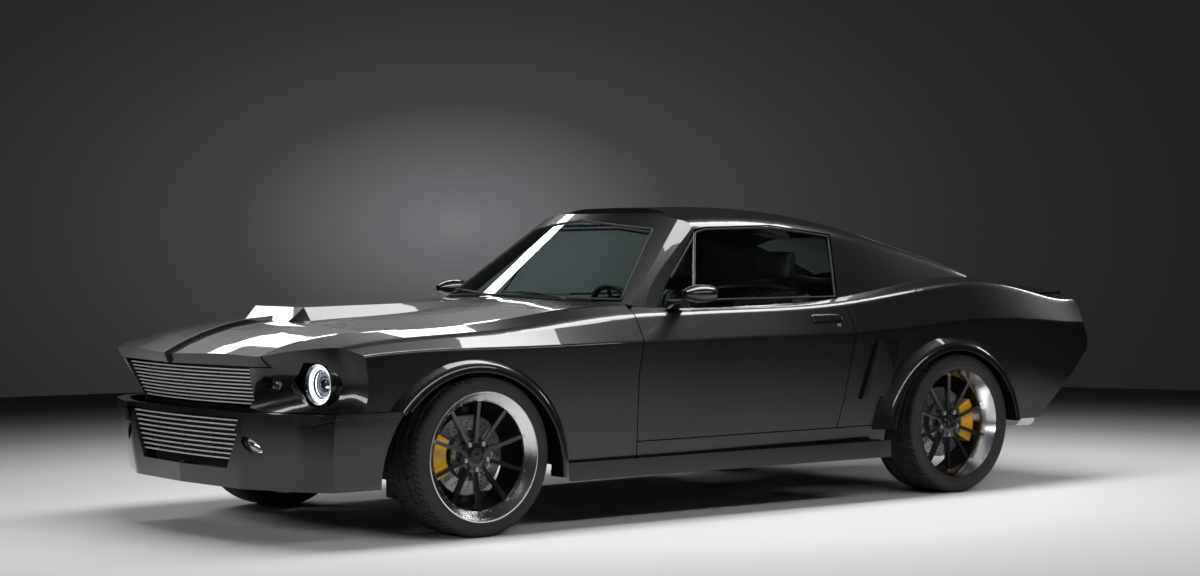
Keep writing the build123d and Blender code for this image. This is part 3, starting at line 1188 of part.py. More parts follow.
# ---------------------------------------------------------------- mirrors, wipers and exhausts
MIRROR_X = FRONT_AXLE_X - 1110
MIRROR_Y = HALF_WIDTH + 38
MIRROR_Z = 976.0
with BuildPart() as mirror_left:
    for x, half_y, half_z in ((-44, 62, 36), (0, 66, 40), (52, 52, 32), (92, 22, 14)):
        with BuildSketch(Plane.YZ.offset(MIRROR_X + x)):
            with Locations((MIRROR_Y, MIRROR_Z)):
                Ellipse(half_y, half_z)
    loft()
    with BuildSketch(Plane.XY.offset(BELT_Z - 8)):
        with Locations((MIRROR_X + 10, side_y(135))):
            Rectangle(86, 34)
    with BuildSketch(Plane.XY.offset(MIRROR_Z - 12)):
        with Locations((MIRROR_X + 12, MIRROR_Y - 40)):
            Rectangle(44, 22)
    loft()
    add(door_left.part, mode=Mode.SUBTRACT)
with BuildPart() as mirror_right:
    mirror(mirror_left.part, about=Plane.XZ)
save(mirror_left.part, "mirror_left")
save(mirror_right.part, "mirror_right")

EXHAUST_RADIUS = 38.0
EXHAUST_Z = QUARTER_FOOT_Z - EXHAUST_RADIUS - 3
with BuildPart() as exhaust_left:
    with BuildSketch(Plane.YZ.offset(REAR_AXLE_X - 1010)):
        with Locations((430, EXHAUST_Z)):
            Circle(EXHAUST_RADIUS)
            Circle(EXHAUST_RADIUS - 3, mode=Mode.SUBTRACT)
    extrude(amount=420)
    with BuildSketch(Plane.YZ.offset(REAR_AXLE_X - 590)):
        with Locations((430, EXHAUST_Z)):
            RectangleRounded(190, 120, 50)
    extrude(amount=150)
    with BuildSketch(Plane.YZ.offset(REAR_AXLE_X - 700)):
        with Locations((430, 347)):
            Rectangle(24, 78)
    extrude(amount=20)
save(both_sides(exhaust_left.part), "exhausts")

# ---------------------------------------------------------------- cabin
SEAT_X = FRONT_AXLE_X - 1640
SEAT_Y = 375.0
SEAT_HALF = 245.0
with BuildPart() as seat:
    with BuildSketch(Plane.XZ.offset(-(SEAT_Y + SEAT_HALF))):
        with BuildLine():
            Polyline(
                (SEAT_X + 290, 300), (SEAT_X + 300, 470), (SEAT_X + 250, 500), (SEAT_X - 170, 455),
                (SEAT_X - 350, 1010), (SEAT_X - 450, 1010), (SEAT_X - 300, 420), (SEAT_X - 250, 300), close=True,
            )
        make_face()
    extrude(amount=2 * SEAT_HALF)
    with BuildSketch(Plane.XZ.offset(-(SEAT_Y + 130))):
        with BuildLine():
            Polyline((SEAT_X - 352, 1005), (SEAT_X - 372, 1165), (SEAT_X - 462, 1165), (SEAT_X - 448, 1005), close=True)
        make_face()
    extrude(amount=260)
save(both_sides(seat.part), "front_seats")
with BuildPart() as seat_base:
    add(block((SEAT_X - 220, SEAT_Y - 200, FLOOR_Z + FLOOR_THICK), (SEAT_X + 240, SEAT_Y - 160, 300 - SEAT_CLEAR)))
    add(block((SEAT_X - 220, SEAT_Y + 160, FLOOR_Z + FLOOR_THICK), (SEAT_X + 240, SEAT_Y + 200, 300 - SEAT_CLEAR)))
save(both_sides(seat_base.part), "seat_rails")

REAR_SEAT_X = FRONT_AXLE_X - 2290
with BuildPart() as rear_seat:
    with BuildSketch(Plane.XZ.offset(-560)):
        with BuildLine():
            Polyline((REAR_SEAT_X + 120, FLOOR_Z + FLOOR_THICK + SEAT_CLEAR), (REAR_SEAT_X + 135, 490),
                     (REAR_SEAT_X + 90, 530), (REAR_SEAT_X - 140, 526), (REAR_SEAT_X - 290, 930),
                     (REAR_SEAT_X - 355, 930), (REAR_SEAT_X - 265, 600), (REAR_SEAT_X - 240, 526),
                     (REAR_SEAT_X + 14, 440), (REAR_SEAT_X + 37, FLOOR_Z + FLOOR_THICK + SEAT_CLEAR), close=True)
        make_face()
    extrude(amount=1120)
    add(block((REAR_SEAT_X, -TUNNEL_HALF - 1, FLOOR_Z), (REAR_SEAT_X + 200, TUNNEL_HALF + 1, TUNNEL_TOP_Z + 1)), mode=Mode.SUBTRACT)
save(rear_seat.part, "rear_seat")

DASH_X = FRONT_AXLE_X - 780
with BuildPart() as dashboard:
    with BuildSketch(Plane.XZ.offset(1 - COWL_Y)):
        with BuildLine():
            Polyline((DASH_X + 200, 880), (DASH_X - 60, 896), (DASH_X - 180, 860), (DASH_X - 190, 760),
                     (DASH_X - 110, 640), (DASH_X + 60, 620), (DASH_X + 200, 700), close=True)
        make_face()
    extrude(amount=2 * (COWL_Y - 1))
    add(block((DASH_X - 190, -110, TUNNEL_TOP_Z + SEAT_CLEAR), (DASH_X - 60, 110, 700)))
    add(block((SEAT_X - 150, -105, TUNNEL_TOP_Z + SEAT_CLEAR), (DASH_X - 150, 105, 520)))
save(dashboard.part, "dashboard")

STEERING_TILT = 24.0
STEERING_X = FRONT_AXLE_X - 1120
STEERING_Y = 370.0
STEERING_Z = 835.0
STEERING_RADIUS = 180.0
COLUMN_RADIUS = 17.0
tilt = radians(STEERING_TILT)
wheel_back = Vector(-cos(tilt), 0, sin(tilt))
steering_plane = Plane((STEERING_X, STEERING_Y, STEERING_Z), x_dir=(0, 1, 0), z_dir=wheel_back)
with BuildPart() as steering_wheel:
    with BuildSketch(Plane((STEERING_X, STEERING_Y + STEERING_RADIUS, STEERING_Z), x_dir=(0, 1, 0),
                           z_dir=Vector(sin(tilt), 0, cos(tilt)))):
        Circle(15)
    revolve(axis=Axis((STEERING_X, STEERING_Y, STEERING_Z), wheel_back))
    with BuildSketch(steering_plane.offset(-24)):
        Circle(48)
    extrude(amount=26)
    with BuildSketch(steering_plane.offset(-6)):
        for angle in (0, 180, 270):
            with Locations(Rot(0, 0, angle) * Pos(90, 0)):
                Rectangle(170, 26)
    extrude(amount=5)
save(steering_wheel.part, "steering_wheel")
with BuildPart() as steering_column:
    with BuildSketch(steering_plane.offset(-24.2)):
        Circle(36)
    extrude(amount=-230)
    add(dashboard.part, mode=Mode.SUBTRACT)
save(steering_column.part, "steering_column")
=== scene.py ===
"""Looks of a two-door fastback coupe, built round its packed construction model."""

import json
import logging
import math
from dataclasses import dataclass
from enum import Enum
from typing import Any, Callable, Mapping, Sequence, Union

import bmesh
import bpy
from mathutils import Matrix, Vector

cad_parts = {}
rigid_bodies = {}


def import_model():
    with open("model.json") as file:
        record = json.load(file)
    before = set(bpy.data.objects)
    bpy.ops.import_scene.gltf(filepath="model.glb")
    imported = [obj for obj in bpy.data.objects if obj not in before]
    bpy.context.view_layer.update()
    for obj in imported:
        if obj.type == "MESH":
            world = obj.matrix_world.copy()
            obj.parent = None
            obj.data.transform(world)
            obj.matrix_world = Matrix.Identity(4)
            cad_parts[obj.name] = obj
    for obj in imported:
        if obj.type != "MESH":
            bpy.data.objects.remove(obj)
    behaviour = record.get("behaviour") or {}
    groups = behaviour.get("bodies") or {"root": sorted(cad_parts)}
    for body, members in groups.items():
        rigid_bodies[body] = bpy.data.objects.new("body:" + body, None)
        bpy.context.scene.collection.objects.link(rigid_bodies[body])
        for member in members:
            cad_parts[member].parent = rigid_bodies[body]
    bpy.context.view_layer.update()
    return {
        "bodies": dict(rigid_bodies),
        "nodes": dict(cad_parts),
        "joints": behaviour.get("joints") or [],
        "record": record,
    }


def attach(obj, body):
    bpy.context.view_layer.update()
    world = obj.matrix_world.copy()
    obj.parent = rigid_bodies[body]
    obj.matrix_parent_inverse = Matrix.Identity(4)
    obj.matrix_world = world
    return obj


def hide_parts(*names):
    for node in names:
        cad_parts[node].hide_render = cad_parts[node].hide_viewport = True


LOG = logging.getLogger("coupe")

# Driving places and sizes, in metres, as the construction model has them.
FRONT_AXLE_X = 1.440
REAR_AXLE_X = -1.303
AXLE_Z = 0.330
FRONT_TYRE_Y = 0.777
REAR_TYRE_Y = 0.787

Place = tuple[float, float, float]
Colour = tuple[float, float, float]
Outline = Sequence[tuple[float, float]]
Value = Union["Signal", float]
Piece = bpy.types.Object
Material = bpy.types.Material


class Side(Enum):
    """Side of the car."""

    LEFT = 1
    RIGHT = -1

    @property
    def word(self) -> str:
        """Name used in the names of pieces."""
        return self.name.lower()


# ---------------------------------------------------------------- shader maths
def operator(operation: str, swapped: bool = False) -> Callable[["Signal", Value], "Signal"]:
    """Method that adds a Math node.

    Args:
        operation: The node's operation.
        swapped: Whether the method's own signal is the second value.

    Returns:
        The method.
    """

    def method(self: "Signal", other: Value) -> "Signal":
        """Math node on this value and another."""
        first, second = (other, self) if swapped else (self, other)
        return self.graph.node("ShaderNodeMath", {"operation": operation}, {0: first, 1: second})

    return method


class Signal:
    """Output socket of a node, with arithmetic that adds Math nodes."""

    def __init__(self, graph: "Graph", socket: bpy.types.NodeSocket) -> None:
        """Keep the socket and the graph it belongs to.

        Args:
            graph: Graph that the socket is in.
            socket: Output socket.
        """
        self.graph = graph
        self.socket = socket

    __add__, __radd__ = operator("ADD"), operator("ADD", True)
    __sub__, __rsub__ = operator("SUBTRACT"), operator("SUBTRACT", True)
    __mul__, __rmul__ = operator("MULTIPLY"), operator("MULTIPLY", True)
    __truediv__, __pow__ = operator("DIVIDE"), operator("POWER")
    __gt__, __lt__ = operator("GREATER_THAN"), operator("LESS_THAN")
    __mod__ = operator("FLOORED_MODULO")    # never negative
    bend = operator("ARCTAN2")              # angle whose tangent is self / other

    def held(self) -> "Signal":
        """This value kept between nothing and one."""
        return self.graph.node("ShaderNodeClamp", inputs={"Value": self})

    def sine(self) -> "Signal":
        """Sine of self."""
        return operator("SINE")(self, 0.0)


class Graph:
    """Node tree that starts empty."""

    def __init__(self, tree: bpy.types.NodeTree) -> None:
        """Clear the tree.

        Args:
            tree: Node tree.
        """
        self.tree = tree
        tree.nodes.clear()

    def node(
        self,
        kind: str,
        settings: Mapping[str, Any] | None = None,
        inputs: Mapping[Any, Any] | None = None,
        output: int | str = 0,
    ) -> Signal:
        """Add one node.

        Args:
            kind: Type of the node.
            settings: Properties set first; "stops" gives a ramp's stops as (position, colour).
            inputs: Value or Signal of each input, by name or number.
            output: Output that is returned.

        Returns:
            The node's output.
        """
        made = self.tree.nodes.new(kind)
        for key, value in (settings or {}).items():
            if key == "stops":
                ramp = made.color_ramp.elements
                for element, (position, colour) in zip((ramp[0], ramp[1]), value[:2]):
                    element.position, element.color = position, colour
                for position, colour in value[2:]:
                    ramp.new(position).color = colour
            else:
                setattr(made, key, value)
        for key, value in (inputs or {}).items():
            if isinstance(value, Signal):
                self.tree.links.new(value.socket, made.inputs[key])
            else:
                made.inputs[key].default_value = value
        return Signal(self, made.outputs[output])

    def close(self, kind: str, shader: Signal) -> None:
        """Link a shader to a new output node's surface."""
        made = self.tree.nodes.new(kind)
        self.tree.links.new(shader.socket, made.inputs["Surface"])


class Recipe(Graph):
    """Node tree of one material."""

    def __init__(self, name: str) -> None:
        """Start an empty material.

        Args:
            name: Name of the material.
        """
        self.material = bpy.data.materials.new(name)
        self.material.use_nodes = True
        super().__init__(self.material.node_tree)

    def place(self) -> Signal:
        """Place on the piece, in metres."""
        return self.node("ShaderNodeTexCoord", output="Object")

    def axes(self) -> tuple[Signal, Signal, Signal]:
        """Place on the piece as three values."""
        where = self.place()
        split = self.node("ShaderNodeSeparateXYZ", inputs={0: where})
        outputs = split.socket.node.outputs
        return tuple(Signal(self, outputs[i]) for i in range(3))

    def noise(self, scale: float, detail: float = 2.0, stretch: Place = (1, 1, 1)) -> Signal:
        """Cloudy value from 0 to 1.

        Args:
            scale: Clouds to the metre.
            detail: Octaves.
            stretch: Further scale along each axis.

        Returns:
            The value.
        """
        vector = self.node("ShaderNodeMapping", inputs={"Vector": self.place(), "Scale": stretch})
        inputs = {"Vector": vector, "Scale": scale, "Detail": detail}
        return self.node("ShaderNodeTexNoise", inputs=inputs)

    def cells(self, scale: float) -> Signal:
        """Distance to the nearest of scattered points."""
        return self.node("ShaderNodeTexVoronoi", inputs={"Vector": self.place(), "Scale": scale})

    def blend(self, share: Value, first: Any, second: Any) -> Signal:
        """Colour between two colours.

        Args:
            share: 0 for the first, 1 for the second.
            first: Colour or Signal.
            second: Colour or Signal.

        Returns:
            The colour.
        """
        colours = {
            6: first if isinstance(first, Signal) else (*first, 1.0),
            7: second if isinstance(second, Signal) else (*second, 1.0),
        }
        return self.node("ShaderNodeMix", {"data_type": "RGBA"}, {0: share, **colours}, output=2)

    def bump(self, height: Signal, distance: float, strength: float = 1.0) -> Signal:
        """Normal that follows a height of so many metres."""
        inputs = {"Height": height, "Distance": distance, "Strength": strength}
        return self.node("ShaderNodeBump", inputs=inputs)

    def finish(self, **sockets: Any) -> Material:
        """Close the material with a Principled surface.

        Args:
            sockets: Value or Signal of each input, its name's spaces written as underscores.

        Returns:
            The material.
        """
        inputs = {}
        for key, value in sockets.items():
            is_colour = isinstance(value, tuple) and len(value) == 3
            inputs[key.replace("_", " ")] = (*value, 1.0) if is_colour else value
        shader = self.node("ShaderNodeBsdfPrincipled", inputs=inputs)
        self.close("ShaderNodeOutputMaterial", shader)
        return self.material


# ---------------------------------------------------------------- finishes
@dataclass(frozen=True)
class Finish:
    """Looks of a surface."""

    name: str

    def sockets(self, recipe: Recipe) -> dict[str, Any]:
        """Inputs of the surface, as Recipe.finish takes them."""
        raise NotImplementedError

    def make(self) -> Material:
        """Material of the finish."""
        recipe = Recipe(self.name)
        return recipe.finish(**self.sockets(recipe))


@dataclass(frozen=True)
class Lacquer(Finish):
    """Sprayed and polished colour under a clear coat."""

    colour: Colour
    roughness: float = 0.22
    peel: float = 0.00002

    def sockets(self, recipe: Recipe) -> dict[str, Any]:
        """Inputs of the surface."""
        haze = recipe.noise(1.7, 3.0)
        paler = tuple(c * 1.6 + 0.002 for c in self.colour)
        return dict(
            Base_Color=recipe.blend(haze, self.colour, paler),
            Roughness=self.roughness + 0.08 * haze,
            Specular_IOR_Level=0.3,
            Coat_Weight=1.0,
            Coat_Roughness=0.015,
            Normal=recipe.bump(recipe.noise(420.0, 1.0), self.peel),
        )


@dataclass(frozen=True)
class Rubber(Finish):
    """Moulded rubber with a dusty bloom."""

    colour: Colour = (0.014, 0.014, 0.015)
    bloom: Colour = (0.035, 0.034, 0.033)
    roughness: float = 0.56

    def sockets(self, recipe: Recipe) -> dict[str, Any]:
        """Inputs of the surface."""
        cloud = recipe.noise(14.0, 4.0)
        grain = recipe.noise(900.0, 2.0)
        return dict(
            Base_Color=recipe.blend(cloud ** 2.0, self.colour, self.bloom),
            Roughness=self.roughness + 0.2 * cloud,
            Normal=recipe.bump(grain, 0.00012),
        )


@dataclass(frozen=True)
class Brushed(Finish):
    """Bare metal with fine lines along one direction."""

    colour: Colour
    roughness: float
    stretch: Place = (1, 1, 1)
    depth: float = 0.00003
    metallic: float = 1.0

    def sockets(self, recipe: Recipe) -> dict[str, Any]:
        """Inputs of the surface."""
        lines = recipe.noise(500.0, 2.0, self.stretch)
        stain = recipe.noise(9.0, 3.0)
        darker = tuple(c * 0.72 for c in self.colour)
        return dict(
            Base_Color=recipe.blend(stain * 0.5 + lines * 0.3, self.colour, darker),
            Metallic=self.metallic,
            Roughness=self.roughness + 0.14 * lines,
            Normal=recipe.bump(lines, self.depth),
        )


@dataclass(frozen=True)
class GrilleBars(Finish):
    """Brushed level bars, with whatever ties them together behind painted out."""

    foot_z: float
    top_z: float
    count: int
    half_height: float = 0.0027

    def sockets(self, recipe: Recipe) -> dict[str, Any]:
        """Inputs of the surface."""
        _, _, z = recipe.axes()
        pitch = (self.top_z - self.foot_z) / (self.count - 1)
        within = ((z - self.foot_z) / pitch + 0.5) % 1.0 - 0.5
        bar = (within * within) < (self.half_height / pitch) ** 2
        lines = recipe.noise(500.0, 2.0, (1, 0.02, 1))
        metal = recipe.blend(lines * 0.4, (0.86, 0.86, 0.87), (0.66, 0.66, 0.67))
        return dict(
            Base_Color=recipe.blend(bar, (0.004, 0.004, 0.004), metal),
            Metallic=bar * 0.5,
            Roughness=0.6 - 0.3 * bar + 0.1 * lines,
            Normal=recipe.bump(lines, 0.00003),
        )


@dataclass(frozen=True)
class Mesh(Finish):
    """Black woven wire, its gaps painted near-black as painted shade showing through."""

    pitch: float = 0.009

    def sockets(self, recipe: Recipe) -> dict[str, Any]:
        """Inputs of the surface."""
        _, y, z = recipe.axes()
        rows = [((way / self.pitch) % 1.0 - 0.5) for way in (y + z, y - z)]
        first, second = ((row * row) < 0.02 for row in rows)
        wire = (first + second).held()
        # Gaps between the wires are painted near-black: painted shade standing for the dark behind, as the
        # sheet has no holes.
        return dict(
            Base_Color=recipe.blend(wire, (0.001, 0.001, 0.001), (0.03, 0.03, 0.031)),
            Metallic=wire * 0.6,
            Roughness=0.8 - 0.4 * wire,
            Normal=recipe.bump(wire, 0.0012),
        )


@dataclass(frozen=True)
class TurnedDisc(Finish):
    """Brake disc: turned rings and a drilled pattern, round one axle."""

    axle_x: float
    hole: float = 0.0042
    row_pitch: float = 0.0155
    drilled: tuple[float, float] = (0.092, 0.155)
    per_turn: int = 24

    def sockets(self, recipe: Recipe) -> dict[str, Any]:
        """Inputs of the surface."""
        x, _, z = recipe.axes()
        dx, dz = x - self.axle_x, z - AXLE_Z
        reach = (dx * dx + dz * dz) ** 0.5
        rings = (reach * 5200.0).sine() * 0.5 + 0.5
        first, last = self.drilled
        row = (reach - first) / self.row_pitch
        step = row - row % 1.0
        turn = (dx.bend(dz) / (2 * math.pi) * self.per_turn + step * 0.25) % 1.0
        along = (turn - 0.5) * reach * (2 * math.pi / self.per_turn)
        across = (row % 1.0 - 0.5) * self.row_pitch
        hole = (along * along + across * across) ** 0.5 < self.hole
        hole = hole * (reach > first) * (reach < last)
        bare = recipe.blend(rings * 0.4, (0.30, 0.30, 0.31), (0.20, 0.20, 0.21))
        # Drilled holes are painted near-black: painted shade where the solid disc has no real holes, sunk by
        # the bump.
        return dict(
            Base_Color=recipe.blend(hole, bare, (0.006, 0.006, 0.006)),
            Metallic=1.0 - hole,
            Roughness=0.28 + 0.16 * rings,
            Normal=recipe.bump(rings * 0.05 - hole, 0.0006),
        )


@dataclass(frozen=True)
class Glazing(Finish):
    """Clear or tinted glass."""

    tint: Colour

    def sockets(self, recipe: Recipe) -> dict[str, Any]:
        """Inputs of the surface."""
        return dict(Base_Color=self.tint, Roughness=0.0, Transmission_Weight=1.0, IOR=1.45)


@dataclass(frozen=True)
class Grained(Finish):
    """Moulded plastic or vinyl with a fine grain."""

    colour: Colour
    roughness: float = 0.6
    grain: float = 1400.0
    depth: float = 0.00008
    coat: float = 0.0

    def sockets(self, recipe: Recipe) -> dict[str, Any]:
        """Inputs of the surface."""
        skin = recipe.cells(self.grain)
        cloud = recipe.noise(6.0, 3.0)
        paler = tuple(c * 1.5 + 0.004 for c in self.colour)
        return dict(
            Base_Color=recipe.blend(cloud, self.colour, paler),
            Roughness=self.roughness + 0.12 * cloud,
            Coat_Weight=self.coat,
            Normal=recipe.bump(skin, self.depth),
        )


@dataclass(frozen=True)
class Leather(Finish):
    """Hide with a pebbled grain and soft creases."""

    colour: Colour

    def sockets(self, recipe: Recipe) -> dict[str, Any]:
        """Inputs of the surface."""
        pebble = recipe.cells(520.0)
        crease = recipe.noise(38.0, 5.0)
        worn = recipe.noise(5.0, 2.0)
        paler = tuple(c * 1.7 + 0.006 for c in self.colour)
        return dict(
            Base_Color=recipe.blend(worn * 0.6 + pebble * 0.4, self.colour, paler),
            Roughness=0.42 + 0.2 * crease,
            Normal=recipe.bump(pebble * 0.6 + crease, 0.0006, 0.5),
        )


@dataclass(frozen=True)
class Glow(Finish):
    """Lit light guide."""

    colour: Colour
    strength: float

    def sockets(self, recipe: Recipe) -> dict[str, Any]:
        """Inputs of the surface."""
        return dict(
            Base_Color=self.colour,
            Roughness=0.3,
            Emission_Color=self.colour,
            Emission_Strength=self.strength,
        )


class Palette:
    """Every finish of the car, made once."""

    def __init__(self) -> None:
        """Make the materials."""
        self.paint = Lacquer("black_lacquer", (0.0022, 0.0022, 0.0026), 0.3).make()
        self.gloss_black = Lacquer("gloss_black_trim", (0.006, 0.006, 0.006), 0.18).make()
        self.wheel_black = Lacquer("wheel_black", (0.008, 0.008, 0.009), 0.25).make()
        self.gold = Lacquer("gold_lacquer", (0.80, 0.42, 0.02), 0.3).make()
        self.tyre = Rubber("tyre_rubber").make()
        self.seal = Rubber("seal_rubber", (0.008, 0.008, 0.008), (0.016, 0.016, 0.016), 0.6).make()
        self.lip = Brushed("polished_lip", (0.82, 0.82, 0.83), 0.14, (0.02, 1, 0.02)).make()
        self.upper_bars = GrilleBars("upper_bars", 0.560, 0.698, 10).make()
        self.lower_bars = GrilleBars("lower_bars", 0.338, 0.494, 9).make()
        self.bright = Brushed("bright_metal", (0.86, 0.86, 0.87), 0.06, depth=0.0).make()
        self.bolt = Brushed("bolt_steel", (0.5, 0.5, 0.5), 0.3).make()
        self.steel = Brushed("plain_steel", (0.34, 0.34, 0.35), 0.36).make()
        grey = (0.16, 0.16, 0.16)
        self.cast = Brushed("cast_metal", grey, 0.55, depth=0.0004, metallic=0.7).make()
        black = (0.012, 0.012, 0.012)
        self.underbody = Grained("underbody_black", black, 0.55, 300.0, 0.0004).make()
        self.plastic = Grained("grained_plastic", (0.014, 0.014, 0.015)).make()
        self.glass = Glazing("window_glass", (0.80, 0.93, 0.90)).make()
        self.lens = Glazing("lamp_lens", (0.97, 0.98, 1.0)).make()
        self.red_lens = Grained("red_lens", (0.42, 0.006, 0.008), 0.12, 900.0, 0.00003, 1.0).make()
        self.mesh = Mesh("wire_mesh").make()
        self.leather = Leather("black_leather", (0.012, 0.012, 0.013)).make()
        self.ring = Glow("lamp_ring", (0.80, 0.90, 1.0), 4.0).make()
        self.front_disc = TurnedDisc("front_disc_steel", FRONT_AXLE_X).make()
        self.rear_disc = TurnedDisc("rear_disc_steel", REAR_AXLE_X).make()


# ---------------------------------------------------------------- modelling
def settle() -> None:
    """Return to object mode with nothing selected."""
    if bpy.context.object and bpy.context.object.mode != "OBJECT":
        bpy.ops.object.mode_set(mode="OBJECT")
    bpy.ops.object.select_all(action="DESELECT")


def activate(piece: Piece) -> None:
    """Select one object alone."""
    settle()
    bpy.context.view_layer.objects.active = piece
    piece.select_set(True)


def pick_faces(piece: Piece, test: Callable[[Any], bool]) -> None:
    """Select the faces of an object in edit mode that pass a test."""
    bpy.ops.mesh.select_mode(type="FACE")
    bpy.ops.mesh.select_all(action="DESELECT")
    shape = bmesh.from_edit_mesh(piece.data)
    for face in [f for f in shape.faces if test(f)]:
        face.select_set(True)
    shape.select_flush_mode()
    bmesh.update_edit_mesh(piece.data)


def apply_place(piece: Piece) -> None:
    """Move an object's place, turn and scale into its mesh."""
    activate(piece)
    bpy.ops.object.transform_apply(location=True, rotation=True, scale=True)


def modify(piece: Piece, kind: str, **settings: Any) -> None:
    """Add a modifier and apply it.

    Args:
        piece: Object that gets it.
        kind: Type of the modifier.
        settings: Its settings.
    """
    activate(piece)
    modifier = piece.modifiers.new(kind.lower(), kind)
    for key, value in settings.items():
        setattr(modifier, key, value)
    bpy.ops.object.modifier_apply(modifier=modifier.name)


def bevel(piece: Piece, width: float, angle: float = 30.0) -> None:
    """Round the edges that are sharper than an angle in degrees."""
    modify(piece, "BEVEL", width=width, segments=2, limit_method="ANGLE", angle_limit=math.radians(angle))


def smooth(piece: Piece, angle: float = 35.0) -> None:
    """Shade smooth, with edges sharper than an angle in degrees left sharp."""
    activate(piece)
    bpy.ops.object.shade_smooth_by_angle(angle=math.radians(angle))


def join(name: str, pieces: Sequence[Piece]) -> Piece:
    """Join objects into the first of them.

    Args:
        name: Name of the joined piece.
        pieces: Objects to join.

    Returns:
        The joined piece.
    """
    activate(pieces[0])
    for piece in pieces[1:]:
        piece.select_set(True)
    bpy.ops.object.join()
    joined = bpy.context.view_layer.objects.active
    joined.name = name
    joined.data.name = name
    return joined


def copy_of(piece: Piece, name: str, matrix: Matrix | None = None) -> Piece:
    """Copy an object with its own mesh, moved by a matrix.

    Args:
        piece: Object to copy.
        name: Name of the copy.
        matrix: Move that goes into the copy's mesh.

    Returns:
        The copy.
    """
    made = piece.copy()
    made.data = piece.data.copy()
    made.name = made.data.name = name
    made.parent = None
    made.hide_render = made.hide_viewport = False
    bpy.context.scene.collection.objects.link(made)
    if matrix is not None:
        made.data.transform(matrix)
        if matrix.determinant() < 0:
            made.data.flip_normals()
    return made


def mirrored(piece: Piece, name: str) -> Piece:
    """Copy of a piece on the car's other side."""
    return copy_of(piece, name, Matrix.Scale(-1, 4, (0, 1, 0)))


def mm(*points: tuple[float, float]) -> Outline:
    """Outline in metres, from points in millimetres."""
    return tuple((a / 1000, b / 1000) for a, b in points)


def dot(name: str) -> Piece:
    """New piece of one point at the origin, selected in edit mode."""
    settle()
    bpy.ops.mesh.primitive_plane_add(size=0.001)
    piece = bpy.context.object
    piece.name = piece.data.name = name
    bpy.ops.object.mode_set(mode="EDIT")
    bpy.ops.mesh.select_mode(type="VERT")
    bpy.ops.mesh.select_all(action="SELECT")
    bpy.ops.mesh.merge(type="CENTER")
    return piece


def lathe(name: str, outline: Outline, at: Place, axis: Place, steps: int) -> Piece:
    """Spin an outline about an axis through a place.

    Args:
        name: Name of the piece.
        outline: Points (along the axis, radius).
        at: Place where both are measured from.
        axis: Direction of the axis.
        steps: Steps in a turn.

    Returns:
        The piece.
    """
    piece = dot(name)
    along, radius = outline[0]
    bpy.ops.transform.translate(value=(along, 0.0, radius))
    for (a0, r0), (a1, r1) in zip(outline, outline[1:]):
        bpy.ops.mesh.extrude_region_move(TRANSFORM_OT_translate={"value": (a1 - a0, 0.0, r1 - r0)})
    bpy.ops.mesh.select_all(action="SELECT")
    bpy.ops.mesh.spin(steps=steps, angle=2 * math.pi, center=(0, 0, 0), axis=(1, 0, 0))
    bpy.ops.mesh.select_all(action="SELECT")
    bpy.ops.mesh.remove_doubles(threshold=0.00001)
    bpy.ops.mesh.normals_make_consistent(inside=False)
    bpy.ops.object.mode_set(mode="OBJECT")
    turn = Vector(axis).to_track_quat("X", "Z").to_matrix().to_4x4()
    piece.matrix_world = Matrix.Translation(at) @ turn
    apply_place(piece)
    return piece


def rod(name: str, start: Place, end: Place, radius: float, sides: int, taper: float) -> Piece:
    """Round bar between two places, with softened ends.

    Args:
        name: Name of the piece.
        start: One end.
        end: Other end.
        radius: Radius at the start.
        sides: Sides of the bar.
        taper: Radius at the end, as a share of that at the start.

    Returns:
        The piece.
    """
    settle()
    line = Vector(end) - Vector(start)
    bpy.ops.mesh.primitive_cone_add(
        vertices=sides, radius1=radius, radius2=radius * taper, depth=line.length,
        location=(Vector(start) + Vector(end)) / 2,
        rotation=line.to_track_quat("Z", "Y").to_euler(),
    )
    piece = bpy.context.object
    piece.name = piece.data.name = name
    apply_place(piece)
    bevel(piece, radius * 0.25)
    smooth(piece)
    return piece


def chain(name: str, points: Sequence[Place], closed: bool = False) -> Piece:
    """Line of edges through places, left in edit mode.

    Args:
        name: Name of the piece.
        points: Places.
        closed: Whether the last place is joined to the first.

    Returns:
        The piece.
    """
    piece = dot(name)
    bpy.ops.transform.translate(value=tuple(points[0]))
    route = [*points, points[0]] if closed else list(points)
    for start, end in zip(route, route[1:]):
        step = Vector(end) - Vector(start)
        bpy.ops.mesh.extrude_region_move(TRANSFORM_OT_translate={"value": tuple(step)})
    bpy.ops.mesh.select_all(action="SELECT")
    bpy.ops.mesh.remove_doubles(threshold=0.0001)
    return piece


def tube(name: str, points: Sequence[Place], radius: float, closed: bool = False) -> Piece:
    """Round strip along places.

    Args:
        name: Name of the piece.
        points: Places.
        radius: Its radius.
        closed: Whether it ends where it starts.

    Returns:
        The piece.
    """
    chain(name, points, closed)
    bpy.ops.object.mode_set(mode="OBJECT")
    bpy.ops.object.convert(target="CURVE")
    curve = bpy.context.object.data
    curve.bevel_depth, curve.bevel_resolution, curve.use_fill_caps = radius, 2, True
    bpy.ops.object.convert(target="MESH")
    piece = bpy.context.object
    piece.name = piece.data.name = name
    smooth(piece, 60.0)
    return piece


def slab(name: str, outline: Sequence[Place], shift: Place, edge: float = 0.0) -> Piece:
    """Plate with an outline, thickened by a move.

    Args:
        name: Name of the piece.
        outline: Corners of its first face, in order.
        shift: From its first face to its other face.
        edge: Radius of its edges, 0 for none.

    Returns:
        The piece.
    """
    piece = chain(name, outline, closed=True)
    bpy.ops.mesh.select_all(action="SELECT")
    bpy.ops.mesh.edge_face_add()
    bpy.ops.mesh.extrude_region_move(TRANSFORM_OT_translate={"value": tuple(shift)})
    bpy.ops.mesh.select_all(action="SELECT")
    bpy.ops.mesh.normals_make_consistent(inside=False)
    bpy.ops.object.mode_set(mode="OBJECT")
    if edge:
        bevel(piece, edge, 40.0)
    smooth(piece, 40.0)
    return piece


